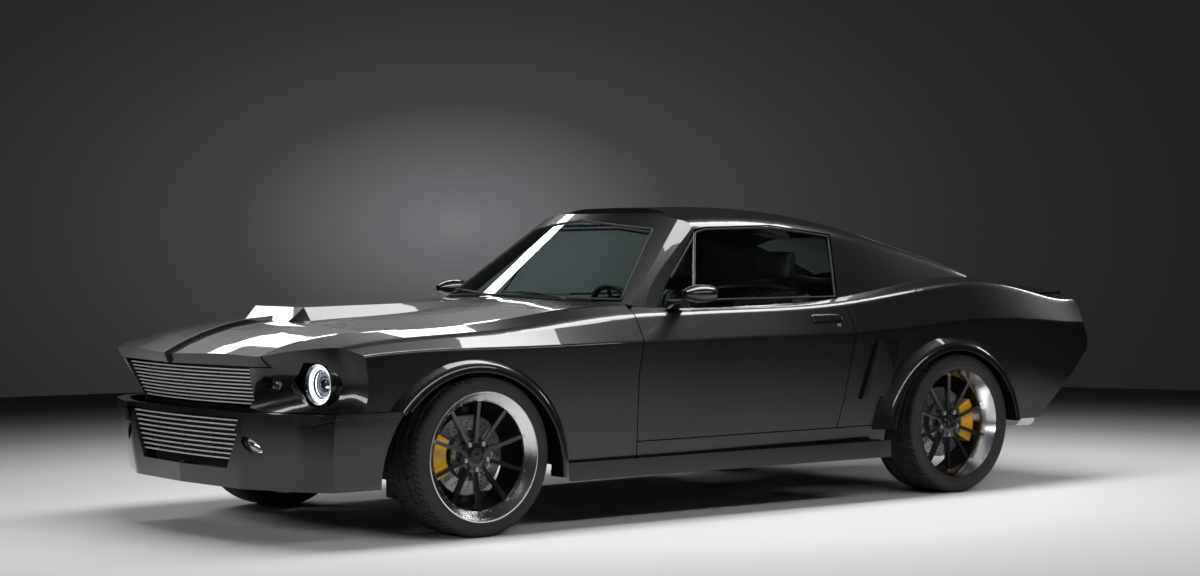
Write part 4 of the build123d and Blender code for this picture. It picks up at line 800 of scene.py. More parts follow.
def landed(node: Piece, starts: Sequence[Place], toward: Place, lift: float = 0.0) -> list[Place]:
    """Places where lines from given starts first meet a construction piece.

    Args:
        node: Construction piece.
        starts: Start of each line.
        toward: Direction of the lines.
        lift: Distance kept off the surface.

    Returns:
        The places, without those of lines that miss.
    """
    made = []
    for start in starts:
        hit, place, normal, _ = node.ray_cast(Vector(start), Vector(toward))
        if hit:
            outward = normal if normal.dot(Vector(toward)) < 0 else -normal
            made.append(tuple(place + outward * lift))
    if len(made) < len(starts):
        LOG.info("%s: %d of %d lines land", node.name, len(made), len(starts))
    return made


def divided(corners: Outline, pitch: float, closed: bool = True) -> Outline:
    """Points along the edges of a flat outline, no further apart than a pitch."""
    made = []
    ends = [*corners[1:], corners[0]] if closed else corners[1:]
    for (a0, b0), (a1, b1) in zip(corners, ends):
        steps = max(1, math.ceil(math.hypot(a1 - a0, b1 - b0) / pitch))
        made += [(a0 + (a1 - a0) * n / steps, b0 + (b1 - b0) * n / steps) for n in range(steps)]
    return made if closed else [*made, corners[-1]]


def rounded(width: float, height: float, radius: float, steps: int = 4) -> Outline:
    """Outline of a rectangle with round corners, about its middle."""
    made = []
    for n, (a, b) in enumerate(((1, 1), (-1, 1), (-1, -1), (1, -1))):
        middle = (a * (width / 2 - radius), b * (height / 2 - radius))
        for m in range(steps + 1):
            turn = math.pi / 2 * (n + m / steps)
            made.append((middle[0] + radius * math.cos(turn), middle[1] + radius * math.sin(turn)))
    return made


def dress(piece: Piece, finish: Material, body: str) -> Piece:
    """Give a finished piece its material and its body.

    Args:
        piece: Finished piece.
        finish: Material.
        body: Body that carries it.

    Returns:
        The piece.
    """
    piece.data.materials.clear()
    piece.data.materials.append(finish)
    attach(piece, body)
    return piece


def dress_pair(piece: Piece, finish: Material, body: str) -> None:
    """Dress a left piece and its copy on the right.

    Args:
        piece: Left piece, with "left" in its name.
        finish: Material of both.
        body: Body of the left one.
    """
    other = mirrored(piece, piece.name.replace("left", "right"))
    dress(piece, finish, body)
    dress(other, finish, body.replace("left", "right"))


def merged_copy(node: Piece, name: str, edge: float = 0.0012, angle: float = 30.0) -> Piece:
    """Copy of a construction piece with its triangles merged and its edges softened.

    Args:
        node: Construction piece.
        name: Name of the copy.
        edge: Width of the softened edges.
        angle: Edges sharper than this, in degrees, stay sharp.

    Returns:
        The copy.
    """
    piece = copy_of(node, name)
    for key in [k for k in piece.keys() if k.startswith("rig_")]:
        del piece[key]
    activate(piece)
    bpy.ops.object.mode_set(mode="EDIT")
    bpy.ops.mesh.select_all(action="SELECT")
    bpy.ops.mesh.remove_doubles(threshold=0.00002)
    bpy.ops.object.mode_set(mode="OBJECT")
    bevel(piece, edge, angle)
    smooth(piece, angle)
    return piece


# ---------------------------------------------------------------- studio
@dataclass
class Studio:
    """Floor, backdrop, lights and camera."""

    frame_px: tuple[int, int] = (1200, 576)
    eye: Place = (7.1893, 9.0932, 1.2123)
    yaw: float = 230.631
    pitch: float = -1.296
    roll: float = -0.201
    focal_px: float = 2460.4
    centre_px: tuple[float, float] = (670.1, 294.6)
    sensor_mm: float = 36.0
    glow_toward: Place = (-0.566, -0.824, 0.006)
    glow_squash: float = 1.8
    glow: Outline = (
        (0.0, 0.19), (0.02, 0.15), (0.087, 0.056), (0.148, 0.034), (0.21, 0.023), (0.30, 0.016),
        (1.0, 0.012),
    )
    # Painted pool of light: floor grey by distance from the car over 10 m, pale near it and painted dark far
    # off.
    floor_stops: Outline = (
        (0.20, 0.80), (0.33, 0.64), (0.50, 0.24), (0.63, 0.09), (0.74, 0.035),
    )

    def build(self) -> None:
        """Build the whole studio."""
        bpy.context.scene.view_settings.view_transform = "Standard"
        self.build_floor()
        self.build_world()
        self.build_lights()
        self.build_camera()

    def build_floor(self) -> None:
        """Floor with a painted pool of light: pale near the car, painted darker away from it."""
        settle()
        at = (0, 0, 0)
        bpy.ops.mesh.primitive_circle_add(vertices=96, radius=9.0, fill_type="NGON", location=at)
        floor = bpy.context.object
        floor.name = "studio_floor"
        recipe = Recipe("studio_floor")
        x, y, _ = recipe.axes()
        reach = (x * x + y * y) ** 0.5 / 10.0
        # Painted light: the floor's colour is pale near the car and darker with distance, standing for the
        # studio light's fall-off.
        colour = recipe.node("ShaderNodeValToRGB", {
            "stops": [(at, (level, level, level, 1.0)) for at, level in (
                self.floor_stops[0], self.floor_stops[-1], *self.floor_stops[1:-1])],
        }, {0: reach})
        finish = recipe.finish(Base_Color=colour, Roughness=0.6, Specular_IOR_Level=0.15)
        floor.data.materials.append(finish)

    def build_world(self) -> None:
        """Dark grey surroundings with a soft, wide glow behind the car."""
        world = bpy.data.worlds.new("studio")
        bpy.context.scene.world = world
        world.use_nodes = True
        graph = Graph(world.node_tree)

        def vector_step(operation: str, first: Signal, second: Place, output: int | str = 0) -> Signal:
            """Vector Math node on a signal and a constant."""
            return graph.node("ShaderNodeVectorMath", {"operation": operation}, {0: first, 1: second}, output)

        toward = Vector(self.glow_toward)
        toward.z *= self.glow_squash
        place = graph.node("ShaderNodeTexCoord", output="Generated")
        squashed = vector_step("MULTIPLY", place, (1.0, 1.0, self.glow_squash))
        ahead = graph.node("ShaderNodeVectorMath", {"operation": "NORMALIZE"}, {0: squashed})
        away = vector_step("DISTANCE", ahead, tuple(toward.normalized()), "Value")
        stops = [
            (at, (level, level * 0.96, level * blue, 1))
            for blue, some in ((1.02, (self.glow[0], self.glow[-1])), (1.03, self.glow[1:-1]))
            for at, level in some
        ]
        colour = graph.node("ShaderNodeValToRGB", {"stops": stops}, {0: away})
        graph.close("ShaderNodeOutputWorld", graph.node("ShaderNodeBackground", inputs={"Color": colour}))

    def softbox(
        self, name: str, at: Place, toward: Place, size: tuple[float, float], power: float,
    ) -> None:
        """Rectangular soft light.

        Args:
            name: Name of the light.
            at: Its place.
            toward: Place that it faces.
            size: Its width and height.
            power: Its power in watts.
        """
        data = bpy.data.lights.new(name, "AREA")
        data.shape = "RECTANGLE"
        data.size, data.size_y = size
        data.energy = power
        lamp = bpy.data.objects.new(name, data)
        bpy.context.scene.collection.objects.link(lamp)
        lamp.location = at
        lamp.rotation_euler = (Vector(toward) - Vector(at)).to_track_quat("-Z", "Y").to_euler()

    def build_lights(self) -> None:
        """One long box over the car, one high along each side and one at each end."""
        self.softbox("overhead_box", (-0.2, 0.5, 4.0), (-0.2, 0.0, 0.6), (6.4, 1.3), 215.0)
        self.softbox("left_box", (0.0, 5.6, 4.0), (0.0, 0.0, 0.6), (7.5, 0.55), 120.0)
        self.softbox("right_box", (0.0, -5.6, 4.0), (0.0, 0.0, 0.6), (7.5, 0.55), 105.0)
        self.softbox("front_box", (6.4, 0.4, 2.0), (1.8, 0.0, 0.5), (3.6, 0.8), 75.0)
        self.softbox("rear_box", (-6.4, -0.2, 2.8), (-1.8, 0.0, 0.7), (3.6, 0.8), 60.0)

    def build_camera(self) -> None:
        """Camera at the reference view."""
        data = bpy.data.cameras.new("camera")
        camera = bpy.data.objects.new("camera", data)
        bpy.context.scene.collection.objects.link(camera)
        yaw, pitch, roll = (math.radians(a) for a in (self.yaw, self.pitch, self.roll))
        level = math.cos(pitch)
        ahead = Vector((math.cos(yaw) * level, math.sin(yaw) * level, math.sin(pitch)))
        camera.location = self.eye
        turn = ahead.to_track_quat("-Z", "Y").to_matrix().to_4x4()
        camera.matrix_world = Matrix.Translation(self.eye) @ turn @ Matrix.Rotation(roll, 4, "Z")
        width, height = self.frame_px
        data.sensor_width = self.sensor_mm
        data.lens = self.focal_px * self.sensor_mm / width
        data.shift_x = (width / 2 - self.centre_px[0]) / width
        data.shift_y = (self.centre_px[1] - height / 2) / width
        data.clip_end = 200.0
        bpy.context.scene.camera = camera


@dataclass
class Builder:
    """Builds pieces round the construction model."""

    frame: dict
    palette: Palette

    @property
    def nodes(self) -> dict[str, Piece]:
        """Construction pieces by name."""
        return self.frame["nodes"]


# ---------------------------------------------------------------- wheels
@dataclass
class RoadWheel(Builder):
    """Tyre, spoked rim with its polished lip, bolts, cap and brake disc of one corner."""

    corner: str
    axle_x: float
    tyre_y: float
    side: Side
    width: float
    dish: float
    turn_steps: int = 288
    groove_depth: float = 0.006
    groove_width: float = 0.009
    lug_circle: float = 0.05715
    lugs: int = 5
    rim_bolts: int = 30
    rim_bolt_circle: float = 0.2335
    lip_start: float = 0.2242
    face_out: float = 0.056         # hub face, outboard of the tyre's middle
    tread_reach: float = 0.3195     # tread faces are further than this from the axle
    cross_depth: float = 0.0045
    shoulder: float = 0.66          # where the shoulder blocks start, as a share of half the width

    @property
    def body(self) -> str:
        """Body that turns with the wheel."""
        return f"wheel_{self.corner}"

    @property
    def hub(self) -> Place:
        """Middle of the tyre, on the axle."""
        return (self.axle_x, self.side.value * self.tyre_y, AXLE_Z)

    @property
    def outward(self) -> Place:
        """Direction away from the car."""
        return (0.0, float(self.side.value), 0.0)

    def build(self) -> None:
        """Build every piece of the corner."""
        self.build_tyre()
        self.build_rim()
        self.build_fastenings()
        self.build_disc()
        LOG.info("wheel %s", self.corner)

    def tyre_outline(self) -> Outline:
        """Section of the tyre as (outboard, radius), all round."""
        half = self.width / 2
        bead = half - 0.012
        wall = [
            (bead - 0.004, 0.2562), (bead, 0.2600), (half - 0.006, 0.2690), (half - 0.0005, 0.2735),
            (half + 0.0002, 0.2750), (half + 0.0002, 0.2770), (half - 0.0010, 0.2780), (half + 0.0004, 0.2850),
            (half + 0.0008, 0.2940), (half - 0.0002, 0.3030), (half - 0.0010, 0.3040), (half - 0.0022, 0.3100),
            (half - 0.0035, 0.3110), (half - 0.0080, 0.3205), (half - 0.0170, 0.3265), (half - 0.0300, 0.3288),
        ]
        crown = []
        for share in (0.62, 0.21):
            middle = share * half
            high, low = 0.3294 + (0.62 - share) * 0.0012, 0.3294 - self.groove_depth
            w = self.groove_width / 2
            crown += [
                (middle + w, high), (middle + w * 0.6, low), (middle - w * 0.6, low), (middle - w, high),
            ]
        right = wall + crown
        return right + [(-a, r) for a, r in reversed(right)] + [right[0]]

    def build_tyre(self) -> None:
        """Tyre with ring grooves and cross grooves."""
        name = f"{self.corner}_tyre"
        piece = lathe(name, self.tyre_outline(), self.hub, self.outward, self.turn_steps)
        activate(piece)
        bpy.ops.object.mode_set(mode="EDIT")
        half = self.width / 2
        hub = Vector(self.hub)
        step = 2 * math.pi / self.turn_steps

        def is_cut(face: Any) -> bool:
            """Whether a tread face is the floor of a cross groove."""
            offset = face.calc_center_median() - hub
            along = abs(offset.y)
            reach = math.hypot(offset.x, offset.z)
            count = round((math.atan2(offset.z, offset.x) + math.pi) / step - 0.5)
            if reach < self.tread_reach:
                return False
            slant = int(along / half * 6)
            on_shoulder = along > self.shoulder * half
            pitch = 4 if on_shoulder else 8
            on_rib = on_shoulder or 0.27 * half < along < 0.55 * half
            return on_rib and (count + slant) % pitch == 0

        pick_faces(piece, is_cut)
        sink = {"value": -self.cross_depth}
        bpy.ops.mesh.extrude_region_shrink_fatten(TRANSFORM_OT_shrink_fatten=sink)
        bpy.ops.object.mode_set(mode="OBJECT")
        smooth(piece, 40.0)
        dress(piece, self.palette.tyre, self.body)
        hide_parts(f"tyre_{self.corner}")

    def build_rim(self) -> None:
        """Black spokes and a polished lip."""
        piece = merged_copy(self.nodes[f"wheel_{self.corner}"], f"{self.corner}_rim", 0.0018, 28.0)
        dress(piece, self.palette.wheel_black, self.body)
        piece.data.materials.append(self.palette.lip)
        hub = Vector(self.hub)
        for face in piece.data.polygons:
            offset = face.center - hub
            if math.hypot(offset.x, offset.z) > self.lip_start:
                face.material_index = 1
        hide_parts(f"wheel_{self.corner}")

    def ring_of(self, piece: Piece, count: int, radius: float, start: float) -> list[Piece]:
        """Copies of a piece round the axle.

        Args:
            piece: Piece made on the axle at the hub's middle, moved out to its place.
            count: How many.
            radius: Distance from the axle.
            start: Angle of the first, in radians.

        Returns:
            The copies.
        """
        made = []
        for n in range(count):
            angle = start + 2 * math.pi * n / count
            shift = Vector((math.cos(angle) * radius, 0, math.sin(angle) * radius))
            made.append(copy_of(piece, f"{piece.name}_{n}", Matrix.Translation(shift)))
        bpy.data.objects.remove(piece)
        return made

    def build_fastenings(self) -> None:
        """Lug nuts, rim bolts and centre cap."""
        out = self.side.value
        face_y = out * (self.tyre_y + self.face_out)
        nut = lathe(
            "nut", mm((-14, 0), (-14, 11.2), (6, 11.2), (9, 9.5), (11, 6), (11.5, 0)),
            (self.axle_x, face_y, AXLE_Z), self.outward, 6,
        )
        nuts = self.ring_of(nut, self.lugs, self.lug_circle, -out * math.pi / 2)
        ring_y = out * (self.tyre_y + self.width / 2 - 0.004 - self.dish + 0.0045)
        bolt = lathe(
            "bolt", mm((-6, 0), (-6, 3.6), (2.2, 3.6), (3.4, 2.2), (3.6, 0)),
            (self.axle_x, ring_y, AXLE_Z), self.outward, 8,
        )
        bolts = self.ring_of(bolt, self.rim_bolts, self.rim_bolt_circle, math.radians(6))
        bolts_piece = join(f"{self.corner}_bolts", nuts + bolts)
        smooth(bolts_piece, 30.0)
        dress(bolts_piece, self.palette.bolt, self.body)
        cap = lathe(
            f"{self.corner}_cap",
            mm(
                (-6, 0), (-6, 34), (4, 34), (6.5, 31.5), (6.5, 28), (4.5, 26.5), (4.5, 12),
                (6, 10), (6.8, 0),
            ),
            (self.axle_x, face_y, AXLE_Z), self.outward, 48,
        )
        smooth(cap, 30.0)
        dress(cap, self.palette.gloss_black, self.body)

    def build_disc(self) -> None:
        """Drilled brake disc."""
        node = f"brake_disc_{self.corner}"
        piece = merged_copy(self.nodes[node], f"{self.corner}_disc", 0.0008)
        front = self.corner.startswith("front")
        finish = self.palette.front_disc if front else self.palette.rear_disc
        dress(piece, finish, self.body)
        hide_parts(node)


@dataclass
class Calipers(Builder):
    """Gold brake calipers."""


    def build(self) -> None:
        """Build the front and rear calipers."""
        for side in Side:
            self.skin(f"front_caliper_{side.word}", f"knuckle_{side.word}")
        self.skin("rear_calipers", "body")

    def skin(self, node: str, body: str) -> None:
        """Rounded copy of a caliper.

        Args:
            node: Construction piece.
            body: Body that carries it.
        """
        piece = merged_copy(self.nodes[node], f"{node}_casting", 0.006)
        dress(piece, self.palette.gold, body)
        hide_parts(node)


# ---------------------------------------------------------------- lamps
@dataclass
class Lamps(Builder):
    """Ring headlamps and inner driving lamps."""

    place: Place = (2.100, 0.700, 0.641)
    inner_place: Place = (2.208, 0.571, 0.641)
    turn: float = 8.0
    radius: float = 0.089

    @property
    def axis(self) -> Place:
        """Direction in which the left lamps face."""
        return (math.cos(math.radians(self.turn)), math.sin(math.radians(self.turn)), 0.0)

    def build(self) -> None:
        """Build the lamps of both sides."""
        pieces = [*self.headlamp(), *self.inner_lamp()]
        for piece, finish, slot in pieces:
            dress_pair(piece, finish, "body")
            if piece.name == "left_lamp_housing":
                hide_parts("headlamps")
        LOG.info("lamps: %d pieces", 2 * len(pieces))

    def turned(self, name: str, outline: Outline, at: Place, steps: int = 64) -> Piece:
        """Piece turned about a lamp's axis."""
        piece = lathe(name, outline, at, self.axis, steps)
        smooth(piece, 40.0)
        return piece

    def headlamp(self) -> list[tuple[Piece, Material, str]]:
        """Left headlamp: housing, bowl, lit ring, projector and cover."""
        r = 1000 * self.radius
        housing = self.turned("left_lamp_housing", mm(
            (-68, 0), (-68, r - 1), (4, r - 1), (6.2, r - 4), (5.5, r - 9), (-12, r - 14.5),
            (-60, 50), (-62, 0),
        ), self.place)
        bowl = self.turned("left_lamp_bowl", mm(
            (-58.5, 30), (-56, 46), (-44, 52), (-42.5, 55.5), (-34, 56), (-32.5, 59),
            (-31.5, 59), (-33, 54.5), (-41.5, 54), (-43, 50.5), (-55, 44.5), (-57.5, 30),
            (-58.5, 30),
        ), self.place)
        ring = self.turned("left_lamp_ring", mm(
            (-20, 60.5), (-12, 60.5), (-9, 64), (-9, 70), (-12, 73.5), (-20, 73.5), (-20, 60.5),
        ), self.place)
        projector = self.turned("left_lamp_projector", mm(
            (-56, 0), (-56, 31), (-36, 31), (-31, 29), (-25, 24), (-21, 15), (-19.5, 0),
        ), self.place)
        shroud = self.turned("left_lamp_shroud", mm(
            (-57, 32.5), (-30, 32.5), (-27, 34.5), (-27, 38.5), (-30, 40.5), (-57, 42),
            (-57, 32.5),
        ), self.place)
        cover = self.turned("left_lamp_cover", mm(
            (3.5, 0), (3, 30), (1, 58), (-3, 79.5), (-5.5, 79.5), (-1.5, 58), (0.5, 30), (1, 0),
        ), self.place)
        p = self.palette
        return [
            (housing, p.gloss_black, "trim"), (bowl, p.bright, "lamp"), (ring, p.ring, "lamp"),
            (projector, p.lens, "lamp"), (shroud, p.bolt, "lamp"), (cover, p.lens, "lamp"),
        ]

    def inner_lamp(self) -> list[tuple[Piece, Material, str]]:
        """Left driving lamp: bezel, bowl and cover."""
        bezel = self.turned("left_driving_bezel", mm(
            (-68, 0), (-68, 29.6), (3, 29.6), (5.5, 28), (4.5, 26.2), (-4, 25.4), (-30, 12),
            (-32, 0),
        ), self.inner_place, 48)
        bowl = self.turned("left_driving_bowl", mm(
            (-30, 0), (-29, 9), (-20, 17), (-6, 24), (-7, 24.7), (-21, 18), (-30.5, 10.5),
            (-31.5, 0),
        ), self.inner_place, 48)
        bulb = self.turned("left_driving_bulb", mm(
            (-31, 0), (-31, 6.2), (-14, 6.2), (-11, 4.5), (-10, 0),
        ), self.inner_place, 24)
        cover = self.turned("left_driving_cover", mm(
            (1.5, 0), (0.5, 15), (-2.5, 25), (-4.5, 25), (-1.5, 15), (-0.5, 0),
        ), self.inner_place, 48)
        p = self.palette
        return [
            (bezel, p.gloss_black, "trim"), (bowl, p.bright, "lamp"), (bulb, p.bolt, "lamp"),
            (cover, p.lens, "lamp"),
        ]


# ---------------------------------------------------------------- trim
@dataclass
class Seals(Builder):
    """Rubber round the glass, with the vent bars and the wipers."""

    radius: float = 0.0055
    pitch: float = 0.04
    screen: Outline = mm(
        (-660, 948), (-500, 951), (-300, 958), (0, 963), (300, 958), (500, 951), (660, 948),
        (452, 1256), (0, 1298), (-452, 1256),
    )
    back: Outline = mm(
        (-1187, 0), (-1206, 470), (-1722, 550), (-1735, 0), (-1722, -550), (-1206, -470),
    )
    side: Outline = mm(
        (394, 940), (44, 1243), (-12, 1255), (-404, 1263), (-752, 1221), (-664, 940),
    )
    vent: Outline = ((0.196, 0.940), (0.060, 1.236))
    wiper_pivots: tuple[float, ...] = (0.450, -0.150)
    blade_length: float = 0.42

    def build(self) -> None:
        """Build every seal, the vent bars and the wipers."""
        rubber = self.palette.seal
        front = [(3.0, y, z) for y, z in divided(self.screen, self.pitch)]
        back = [(x, y, 3.0) for x, y in divided(self.back, self.pitch)]
        for name, starts, toward in (("windscreen", front, (-1, 0, 0)), ("rear_window", back, (0, 0, -1))):
            places = landed(self.nodes[name], starts, toward)
            dress(tube(f"{name}_seal", places, self.radius, closed=True), rubber, "body")
        for name, corners, lift, radius, finish, body in (
            ("window_seal", self.side, 0.0, self.radius, rubber, "body"),
            ("belt_seal", (self.side[-1], self.side[0]), 0.0, self.radius, rubber, "door_left"),
            ("vent_bar", self.vent, 0.001, 0.007, self.palette.gloss_black, "door_left"),
        ):
            starts = [(x, 2.0, z) for x, z in divided(corners, self.pitch, closed=False)]
            places = landed(self.nodes["door_glass_left"], starts, (0, -1, 0), lift)
            dress_pair(tube(f"left_{name}", places, radius), finish, body)
        for n, y in enumerate(self.wiper_pivots):
            self.build_wiper(f"wiper_{n + 1}", y)
        LOG.info("seals and wipers")

    def build_wiper(self, name: str, pivot_y: float) -> None:
        """Wiper parked along the foot of the windscreen.

        Args:
            name: Name of the piece.
            pivot_y: Where its spindle stands.
        """
        tip_y = pivot_y - self.blade_length
        spindle = landed(self.nodes["cowl"], [(0.700, pivot_y, 2.0)], (0, 0, -1))
        if not spindle:
            spindle = landed(self.nodes["windscreen"], [(3.0, pivot_y, 0.945)], (-1, 0, 0))
        foot = Vector(spindle[0])
        line = [
            (3.0, pivot_y - 0.03 + (tip_y - pivot_y) * n / 8, 0.962 + 0.010 * n / 8) for n in range(9)
        ]
        blade = landed(self.nodes["windscreen"], line, (-1, 0, 0), 0.007)
        middle = Vector(blade[len(blade) // 2]) + Vector((0.010, 0, 0.008))
        outline = mm((-6, 0), (-6, 12), (10, 12), (15, 9), (17, 0))
        head = lathe(f"{name}_head", outline, tuple(foot), (0.3, 0, 1), 24)
        over = foot + Vector((0, 0, 0.012))
        arm = rod(f"{name}_arm", tuple(over), tuple(middle), 0.0055, 8, 0.6)
        strip = tube(f"{name}_blade", blade, 0.0042)
        yoke = tube(f"{name}_yoke", [
            blade[1], tuple(Vector(blade[3]) + Vector((0.006, 0, 0.006))), tuple(middle),
            tuple(Vector(blade[-4]) + Vector((0.006, 0, 0.006))), blade[-2],
        ], 0.0024)
        dress(join(name, [head, arm, strip, yoke]), self.palette.plastic, "body")


@dataclass
class Brightwork(Builder):
    """Handles, mirror glass, fog lamps, scoop mouths, exhaust tips, lamp frames and mesh."""

    handle: tuple[float, float] = (-0.507, 0.850)
    mirror: Place = (0.2862, 0.943, 0.976)
    fog: Place = (2.286, 0.517, 0.398)
    fog_yaw: float = 16.0
    fog_tilt: float = -28.0
    fog_width: float = 58.0 / 27.0  # of its height
    exhaust: Place = (-2.313, 0.430, 0.284)
    tail_ys: tuple[float, ...] = (0.392, 0.476, 0.560)
    tail_z: float = 0.781

    def build(self) -> None:
        """Build every piece."""
        self.build_handle()
        self.build_mirror_glass()
        self.build_fog_lamp()
        self.build_scoop_mouth()
        self.build_exhaust_tip()
        self.build_lamp_frames()
        self.build_meshes()
        LOG.info("brightwork")

    def build_handle(self) -> None:
        """Flush pull handle with its lock."""
        door = self.nodes["door_left"]
        x, z = self.handle
        outline = [(x + a, z + b) for a, b in rounded(0.172, 0.030, 0.012)]
        plate = landed(door, [(a, 2.0, b) for a, b in outline], (0, -1, 0), -0.001)
        paddle = slab("left_handle", plate, (0, 0.0085, 0.0005), 0.0028)
        dress_pair(paddle, self.palette.gloss_black, "door_left")
        lock = landed(door, [(x - 0.055, 2.0, z - 0.038)], (0, -1, 0))[0]
        barrel = lathe("left_lock", mm(
            (-4, 0), (-4, 9.5), (2.2, 9.5), (3, 8), (1.8, 6), (1.8, 0),
        ), lock, (0, 1, 0), 32)
        smooth(barrel, 30.0)
        dress_pair(barrel, self.palette.bolt, "door_left")

    def build_mirror_glass(self) -> None:
        """Bright glass in the mirror's rear face."""
        x, y, z = self.mirror
        ring = [(math.cos(2 * math.pi * n / 40), math.sin(2 * math.pi * n / 40)) for n in range(40)]
        outline = [(x + 0.002, y + 0.052 * a, z + 0.029 * b) for a, b in ring]
        glass = slab("left_mirror_glass", outline, (-0.0032, 0, 0), 0.0008)
        dress_pair(glass, self.palette.bright, "door_left")

    def build_fog_lamp(self) -> None:
        """Oval fog lamp: dark bucket, bright bowl and lens, tilted in its recess."""
        spin = Matrix.Translation(self.fog) @ Matrix.Rotation(math.radians(self.fog_yaw), 4, "Z")
        spin = spin @ Matrix.Rotation(math.radians(self.fog_tilt), 4, "X")
        spin = spin @ Matrix.Scale(self.fog_width, 4, (0, 1, 0))
        pieces = (
            ("bucket", self.palette.gloss_black, mm(
            (-34, 0), (-34, 26.2), (4, 26.2), (4, 24), (-24, 22.5), (-28, 0),
        )),
            ("bowl", self.palette.bright, mm(
            (-26, 0), (-25.5, 6), (-18, 16.5), (-6, 21.2), (-7, 22), (-19, 17.4), (-26.5, 7),
            (-27, 0),
        )),
            ("lens", self.palette.lens, mm(
            (0, 0), (-1, 12), (-4, 21.5), (-6, 21.5), (-3, 12), (-2, 0),
        )),
        )
        for name, finish, outline in pieces:
            piece = lathe(f"left_fog_{name}", outline, (0, 0, 0), (1, 0, 0), 48)
            piece.data.transform(spin)
            smooth(piece, 40.0)
            dress_pair(piece, finish, "body")

    def build_scoop_mouth(self) -> None:
        """Dark mesh set in the front of the scoop behind the door."""
        quarter = self.nodes["quarter_panels"]
        corners = mm((-697, 484), (-786, 736), (-808, 735), (-719, 484))
        starts = [(x, 2.0, z) for x, z in divided(corners, 0.06)]
        outline = landed(quarter, starts, (0, -1, 0), 0.0004)
        mouth = slab("left_scoop_mouth", outline, (0, 0.0016, 0))
        dress_pair(mouth, self.palette.mesh, "body")

    def build_exhaust_tip(self) -> None:
        """Rolled bright tip on each tail pipe."""
        tip = lathe("left_exhaust_tip", mm(
            (-110, 38.5), (-6, 40), (2, 40.5), (5, 39.2), (4, 37.2), (-4, 36.2), (-70, 35.2),
            (-110, 38.5),
        ), self.exhaust, (-1, 0, 0), 64)
        smooth(tip, 40.0)
        dress_pair(tip, self.palette.bright, "body")

    def build_lamp_frames(self) -> None:
        """Bright frame and ribs on each tail lamp."""
        panel = self.nodes["tail_panel"]
        lamps = self.nodes["tail_lamps"]
        for n, y in enumerate(self.tail_ys):
            ring = [(y + a, self.tail_z + b) for a, b in rounded(0.067, 0.155, 0.016)]
            places = landed(panel, [(-4.0, a, b) for a, b in ring], (1, 0, 0), 0.0005)
            frame = tube(f"left_tail_frame_{n + 1}", places, 0.0028, closed=True)
            dress_pair(frame, self.palette.bright, "body")
            ribs = []
            for m in range(7):
                z = self.tail_z - 0.054 + 0.018 * m
                row = landed(lamps, [(-4.0, y - 0.026 + 0.013 * k, z) for k in range(5)], (1, 0, 0))
                ribs.append(tube(f"rib_{m}", row, 0.0022))
            ribs = join(f"left_tail_ribs_{n + 1}", ribs)
            dress_pair(ribs, self.palette.red_lens, "body")

    def build_meshes(self) -> None:
        """Dark mesh panels behind the upper and lower grilles."""
        for name, low, high, half, lean in (
            ("upper_mesh", 0.552, 0.706, (0.440, 0.500), (2.205, 2.255)),
            ("lower_mesh", 0.294, 0.510, (0.350, 0.468), (2.262, 2.270)),
        ):
            outline = [
                (lean[0], -half[0], low), (lean[0], half[0], low),
                (lean[1], half[1], high), (lean[1], -half[1], high),
            ]
            panel = slab(name, outline, (-0.003, 0, 0))
            dress(panel, self.palette.mesh, "body")


